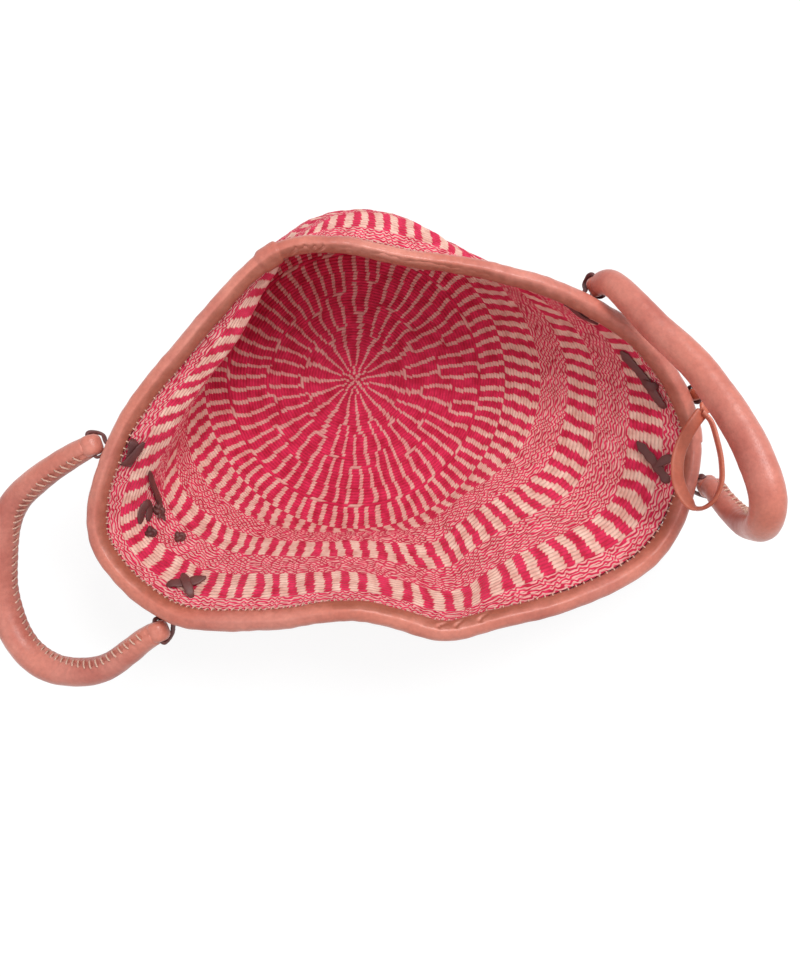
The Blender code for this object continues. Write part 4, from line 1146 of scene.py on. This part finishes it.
# %% Turned wood
def wood_material():
    """Dark hardwood: growth rings from stretched noise, bumped by the same rings, waxed."""
    material, tree, shader = new_material("turned_wood")
    place = add(tree, "TexCoord").outputs["Object"]
    stretched = add(tree, "Mapping", {"Vector": place, "Rotation": (0.3, 0.9, 0.2), "Scale": (60.0, 420.0, 420.0)})
    rings = add(tree, "TexNoise", {"Vector": stretched, "Scale": 1.0, "Detail": 4.0, "Distortion": 1.2})
    share = add(tree, "MapRange", (rings, 0.35, 0.65, 0.0, 1.0))
    tone = add(tree, "Mix", {0: share, 6: linear("3A2018"), 7: linear("7A4A32")}, data_type="RGBA")
    bump = add(tree, "Bump", {"Height": rings, "Strength": 0.4, "Distance": 0.0002})
    tree.links.new(tone.outputs[2], shader.inputs["Base Color"])
    tree.links.new(bump.outputs[0], shader.inputs["Normal"])
    shader.inputs["Roughness"].default_value = 0.38
    return material


# %% Button, thong and knots
button_turn_share = 0.567
button_row = 88.0
button_radius = 0.013
button_thickness = 0.006
button_dome = 0.002
button_standoff = 0.0012
knot_radius = 0.0042
knot_tube = 0.0014
# turn and row of the strip that shows inside, its two end knots and its cut end
strip_stations = ((0.529, 97.0), (0.5395, 93.0), (0.560, 86.75), (0.569, 86.9), (0.580, 87.25))
end_knot_stations = ((0.5775, 93.75), (0.5975, 87.75))
bent_stations = ((0.5665, 95.8), (0.5560, 94.6), (0.5535, 92.6), (0.5590, 91.4), (0.5690, 92.8))
strip_half_width = 0.0026
strip_half_thickness = 0.0007
button_profile_shares = (
    (0.17, 0.08, 0.0), (0.55, 0.04, 0.0), (0.86, 0.0, 0.0), (0.955, 0.08, 0.0), (1.0, 0.30, 0.0),
    (0.99, 0.58, 0.0), (0.93, 0.78, 0.0), (0.86, 0.84, 0.0), (0.80, 0.78, 0.05), (0.74, 0.82, 0.25),
    (0.66, 0.94, 0.55), (0.5, 1.0, 0.80), (0.34, 1.0, 0.86), (0.24, 0.96, 0.80), (0.17, 0.80, 0.75))


def turned(name, place, axis, radii, heights, lines, finish, wrapped):
    """Profile of radii and heights along an axis, turned once round it."""
    one = unit(np.cross(axis, up_axis))
    two = np.cross(axis, one)
    turn = 2 * np.pi * np.arange(lines)[:, None, None] / lines
    spokes = np.cos(turn) * one + np.sin(turn) * two
    places = place + np.asarray(heights)[None, :, None] * axis + np.asarray(radii)[None, :, None] * spokes
    return surface(name, places, np.linspace(0, 1, len(radii) + wrapped), np.arange(lines + 1) / lines,
                   finish, wrap_rows=True, wrap_columns=wrapped)


def knot_path(place, axis, radius, height):
    """Overhand knot: a trefoil curve, (sin t + 2 sin 2t, cos t - 2 cos 2t, -sin 3t), pressed flat."""
    one = unit(np.cross(axis, up_axis))
    two = np.cross(axis, one)
    t = np.linspace(0, 2 * np.pi, 91)[:-1]
    x, y, z = np.sin(t) + 2 * np.sin(2 * t), np.cos(t) - 2 * np.cos(2 * t), -np.sin(3 * t)
    flat = (x / 3)[:, None] * one + (y / 3)[:, None] * two
    return place + flat * radius + axis * (height * (1 + 0.8 * z))[:, None]


def make_button():
    """Wooden button with a rolled lip, and the thong with its two knots and cut tails."""
    place, along, up, outward = wall_frame(button_turn_share, button_row)
    base = wall + button_standoff
    radii = [button_radius * wide for wide, _, _ in button_profile_shares]
    heights = [base + button_thickness * thick + button_dome * domed for _, thick, domed in button_profile_shares]
    button = turned("turned_button", place, outward, radii, heights, 72, wood_material(), True)
    finish_piece(button, "closure_button", "button_wood", "closure_button")

    top = max(heights)
    pieces = []
    for axis, start in ((-outward, 0.0004), (outward, top + 0.0003)):
        middle = place + axis * start if axis is outward else place - outward * start
        path = knot_path(middle, axis, knot_radius * 0.72, knot_tube * 1.25)
        flat = unit(np.cross(np.roll(path, -1, 0) - np.roll(path, 1, 0), outward))
        wide = unit(np.cross(np.roll(path, -1, 0) - np.roll(path, 1, 0), flat))
        full = np.ones(len(path))
        pieces.append(rounded_strip("knot", path, flat, wide, full * knot_tube, full * knot_tube * 0.9, 12,
                                    dark_leather, closed=True))
        for lean in (0.8, -0.9):
            tip = middle + axis * knot_tube * 1.6 + (along * lean + up * 0.5) * knot_radius * 1.3
            tail, _ = smooth_path([middle + axis * knot_tube, (middle + tip) / 2 + axis * knot_tube * 1.2, tip], 16)
            slope = np.gradient(tail, axis=0)
            flat = unit(np.cross(slope, outward))
            full = np.where(np.arange(16) % 15 == 0, 0.0, 1.0)
            pieces.append(rounded_strip("tail", tail, flat, unit(np.cross(slope, flat)), full * knot_tube * 0.8,
                                        full * knot_tube * 0.7, 12, dark_leather))
    for stations in (strip_stations, bent_stations):
        turns, rows = np.array(stations).T
        rail, _ = smooth_path(on_wall(turns, rows, -strip_half_thickness), 40)
        slope = unit(np.gradient(rail, axis=0))
        flat = unit(outward - slope * (slope @ outward)[:, None])
        ends = np.sqrt(np.clip(np.minimum(np.arange(40), 39 - np.arange(40)) / 6, 0, 1))
        pieces.append(rounded_strip("strip", rail, flat, np.cross(slope, flat), ends * strip_half_thickness,
                                    ends * strip_half_width, 12, dark_leather))
    for turn, row in end_knot_stations:
        spot, _, _, out = wall_frame(turn, row)
        path = knot_path(spot, -out, knot_radius * 0.62, knot_tube)
        flat = unit(np.cross(np.roll(path, -1, 0) - np.roll(path, 1, 0), out))
        wide = unit(np.cross(np.roll(path, -1, 0) - np.roll(path, 1, 0), flat))
        full = np.ones(len(path)) * knot_tube
        pieces.append(rounded_strip("end_knot", path, flat, wide, full, full, 12, dark_leather, closed=True))
    stem, _ = smooth_path([place - outward * 0.001, place + outward * top / 2, place + outward * (top + 0.001)], 12)
    full = np.where(np.arange(12) % 11 == 0, 0.0, 1.0)
    pieces.append(rounded_strip("stem", stem, along + 0 * stem, up + 0 * stem, full * thong_radius * 0.9,
                                full * thong_radius * 0.9, 12, dark_leather))
    finish_piece(merge("button_knots", pieces), "basket", "dark_leather", "button_thong")


make_button()

# %% [markdown]
# ## Ropes inside the leather
# The rim and the handles are filled with sisal rope. Leather covers all of it, but the rope
# nodes stay in the model, so they get a real rope finish: three strands, laid at a slant.

# %% Rope finish for the carried-over nodes
def rope_material():
    """Laid rope: slanted dark and light strands in object space, with loose hairy fibres."""
    material, tree, shader = new_material("laid_sisal_rope")
    place = add(tree, "TexCoord").outputs["Object"]
    lay = add(tree, "TexWave", {"Vector": place, "Scale": 110.0, "Distortion": 3.0, "Detail": 2.0},
              bands_direction="DIAGONAL")
    hair = add(tree, "TexNoise", {"Vector": place, "Scale": 1500.0, "Detail": 3.0})
    height = add(tree, "Math", (hair, 0.4, lay), operation="MULTIPLY_ADD")
    share = add(tree, "MapRange", (height, 0.1, 1.2, 0.0, 1.0))
    tone = add(tree, "Mix", {0: share, 6: linear("9C7C52"), 7: linear("DCC79C")}, data_type="RGBA")
    bump = add(tree, "Bump", {"Height": height, "Strength": 0.6, "Distance": 0.0004})
    tree.links.new(tone.outputs[2], shader.inputs["Base Color"])
    tree.links.new(bump.outputs[0], shader.inputs["Normal"])
    shader.inputs["Roughness"].default_value = 0.9
    return material


rope = rope_material()
for name in ("rim_core", "left_handle_core", "right_handle_core"):
    for slot in bpy.data.objects[name].material_slots:
        slot.material = rope
print("rope on", 3, "nodes")
